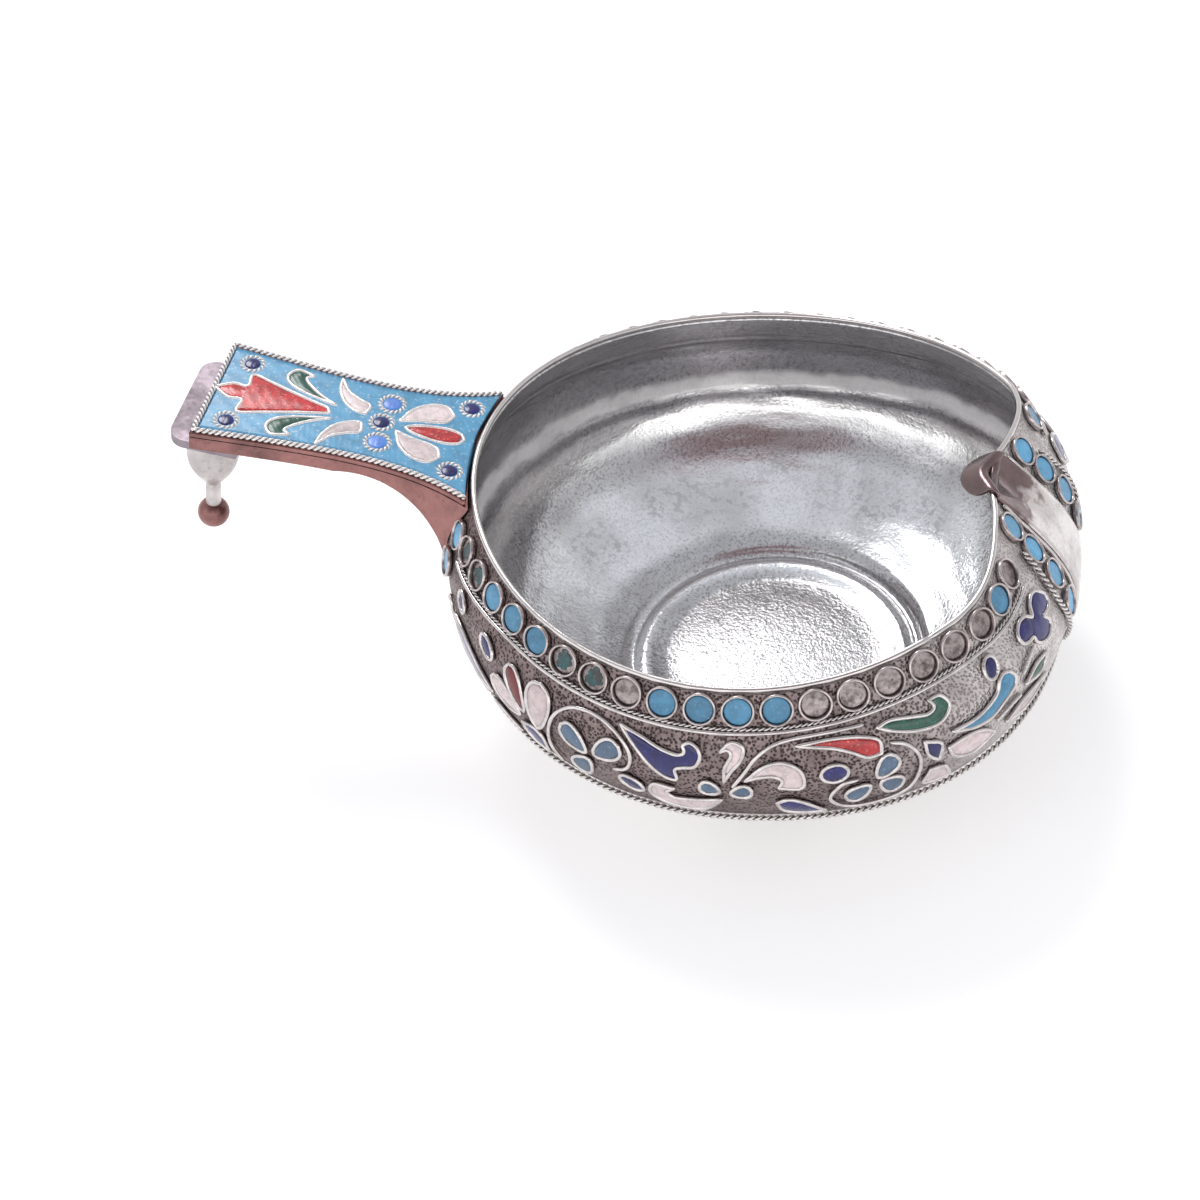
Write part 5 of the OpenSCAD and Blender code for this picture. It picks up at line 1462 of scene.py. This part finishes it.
# Stage: lamps as place, width and power; camera as angles, distance and lens, with the point it turns about
# and where that point lies in the picture
KEY_LAMP = ((-0.17, 0.29, 0.405), 0.22, 1.1)
SIDE_LAMP = ((-0.55, -0.50, 0.34), 0.60, 0.6)
LAMP_AIM = Vector((0, 0, 0.015))
CAMERA_TURN = math.radians(15.61)
CAMERA_RISE = math.radians(43.67)
CAMERA_ROLL = math.radians(-6.6)
CAMERA_DISTANCE = 0.19923
CAMERA_AIM = Vector((0, 0, 0.022))
AIM_X = 758.17
AIM_Y = 488.07
PICTURE = 1200
LENS = 68.05
SENSOR = 36
FLOOR_HALF = 2
FLOOR_GLOW = 0.28
FRONT = (0.269, -0.963, 0)
WHITE = (1, 1, 1, 1)


class KOVSH_OT_stage(KovshOperator, bpy.types.Operator):
    """Sets the pale floor, the soft light and the camera"""
    bl_idname = "kovsh.stage"
    bl_label = "Stage"

    def execute(self, context):
        scene = context.scene
        self.floor(scene)
        self.light("key", *KEY_LAMP)
        self.light("side", *SIDE_LAMP)
        scene.world = self.world()
        scene.view_settings.view_transform = "Standard"
        self.camera(scene)
        return {"FINISHED"}

    def floor(self, scene):
        """Pale floor that glows a little where it is seen, so that it stays near white."""
        mesh = bpy.data.meshes.new("stage_floor")
        corners = [(x * FLOOR_HALF, y * FLOOR_HALF, 0) for x, y in ((-1, -1), (1, -1), (1, 1), (-1, 1))]
        mesh.from_pydata(corners, [], [(0, 1, 2, 3)])
        floor = bpy.data.objects.new("stage_floor", mesh)
        scene.collection.objects.link(floor)
        material, tree, shader = start_material("stage_floor")
        cloud = noise(tree, own_place(tree), 6.0, 2.0)
        tone = blend(tree, cloud, (0.94, 0.94, 0.94, 1), (0.97, 0.97, 0.97, 1))
        ray = node(tree, "ShaderNodeLightPath").outputs
        seen = plus(tree, plus(tree, ray["Is Camera Ray"], ray["Is Glossy Ray"]), ray["Is Transmission Ray"])
        feed(tree, shader.inputs["Base Color"], tone)
        feed(tree, shader.inputs["Roughness"], 0.9)
        feed(tree, shader.inputs["Emission Color"], WHITE)
        feed(tree, shader.inputs["Emission Strength"], times(tree, seen, FLOOR_GLOW))
        mesh.materials.append(material)

    def world(self):
        """Soft studio surroundings: pale low down, cooler overhead, and in front of the cup a bright
        window low down with a dark patch over it for the metal to show."""
        world = bpy.data.worlds.new("stage_world")
        world.use_nodes = True
        tree = world.node_tree
        way = node(tree, "ShaderNodeTexCoord").outputs["Generated"]
        height = node(tree, "ShaderNodeSeparateXYZ", Vector=way).outputs["Z"]
        level = self.vector(tree, "MULTIPLY", way, (1, 1, 0))["Vector"]
        level = node(tree, "ShaderNodeVectorMath", {"operation": "NORMALIZE"}, Vector=level).outputs["Vector"]
        facing = span(tree, self.vector(tree, "DOT_PRODUCT", level, FRONT)["Value"], 0.55, 0.9)
        window = times(tree, belt(tree, height, 0.06, 0.14, 0.40, 0.52), facing)
        dark = times(tree, belt(tree, height, 0.62, 0.76, 0.90, 0.96), facing)
        sky = blend(tree, span(tree, height, 0.05, 0.9), (0.9, 0.9, 0.9, 1), (0.64, 0.66, 0.70, 1))
        sky = blend(tree, window, sky, (2.0, 2.0, 2.0, 1))
        sky = blend(tree, dark, sky, (0.30, 0.20, 0.21, 1))
        seen = node(tree, "ShaderNodeLightPath").outputs["Is Camera Ray"]
        back = tree.nodes["Background"]
        feed(tree, back.inputs["Color"], blend(tree, seen, sky, WHITE))
        feed(tree, back.inputs["Strength"], 1.0)
        return world

    def vector(self, tree, operation, first, second):
        """Outputs of one step of arithmetic on two vectors."""
        made = node(tree, "ShaderNodeVectorMath", {"operation": operation})
        feed(tree, made.inputs[0], first)
        feed(tree, made.inputs[1], second)
        return made.outputs

    def light(self, name, where, width, power):
        """Adds one soft round lamp that looks at the cup."""
        lamp = bpy.data.lights.new("stage_" + name, "AREA")
        lamp.shape = "ELLIPSE"
        lamp.size = width
        lamp.size_y = width
        lamp.energy = power
        thing = bpy.data.objects.new("stage_" + name, lamp)
        thing.location = where
        thing.rotation_euler = (LAMP_AIM - Vector(where)).to_track_quat("-Z", "Y").to_euler()
        bpy.context.scene.collection.objects.link(thing)

    def camera(self, scene):
        """Camera that is turned, raised and rolled about a point over the foot."""
        turn, rise, roll = CAMERA_TURN, CAMERA_RISE, CAMERA_ROLL
        level = math.cos(rise)
        back = Vector((math.sin(turn) * level, -math.cos(turn) * level, math.sin(rise)))
        right = Vector((math.cos(turn), math.sin(turn), 0))
        up = back.cross(right)
        side = math.cos(roll) * right + math.sin(roll) * up
        top = -math.sin(roll) * right + math.cos(roll) * up
        focal = LENS / SENSOR * PICTURE
        off_x = (AIM_X - PICTURE / 2) / focal
        off_y = (PICTURE / 2 - AIM_Y) / focal
        where = CAMERA_AIM + CAMERA_DISTANCE * (back - off_x * side - off_y * top)
        data = bpy.data.cameras.new("stage_camera")
        data.lens = LENS
        data.sensor_width = SENSOR
        data.clip_start = 0.005
        camera = bpy.data.objects.new("stage_camera", data)
        camera.matrix_world = Matrix.Translation(where) @ Matrix((side, top, back)).transposed().to_4x4()
        scene.collection.objects.link(camera)
        scene.camera = camera


class KOVSH_PT_panel(bpy.types.Panel):
    """Sidebar panel with the settings and the steps of the kovsh"""
    bl_idname = "KOVSH_PT_panel"
    bl_label = "Kovsh"
    bl_space_type = "VIEW_3D"
    bl_region_type = "UI"
    bl_category = "Kovsh"

    def draw(self, context):
        layout = self.layout
        for group in (context.scene.kovsh_sizes, context.scene.kovsh_colours):
            for name in group.__annotations__:
                layout.prop(group, name)
        for step in STEPS:
            layout.operator(step.bl_idname)


STEPS = (KOVSH_OT_stage, KOVSH_OT_bowl, KOVSH_OT_borders, KOVSH_OT_dots, KOVSH_OT_prow, KOVSH_OT_ornament,
         KOVSH_OT_handle, KOVSH_OT_handle_cells)
CLASSES = (KovshSizes, KovshColours) + STEPS + (KOVSH_PT_panel,)


def register():
    """Registers the classes and the settings of the scene."""
    for cls in CLASSES:
        bpy.utils.register_class(cls)
    bpy.types.Scene.kovsh_sizes = bpy.props.PointerProperty(type=KovshSizes)
    bpy.types.Scene.kovsh_colours = bpy.props.PointerProperty(type=KovshColours)


def unregister():
    """Takes the settings and the classes out again."""
    del bpy.types.Scene.kovsh_colours
    del bpy.types.Scene.kovsh_sizes
    for cls in reversed(CLASSES):
        bpy.utils.unregister_class(cls)


def main():
    """Registers the add-on and runs its steps in order."""
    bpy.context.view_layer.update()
    register()
    bpy.ops.kovsh.stage()
    bpy.ops.kovsh.bowl()
    bpy.ops.kovsh.borders()
    bpy.ops.kovsh.dots()
    bpy.ops.kovsh.prow()
    bpy.ops.kovsh.ornament()
    bpy.ops.kovsh.handle()
    bpy.ops.kovsh.handle_cells()


if __name__ == "__main__":
    main()
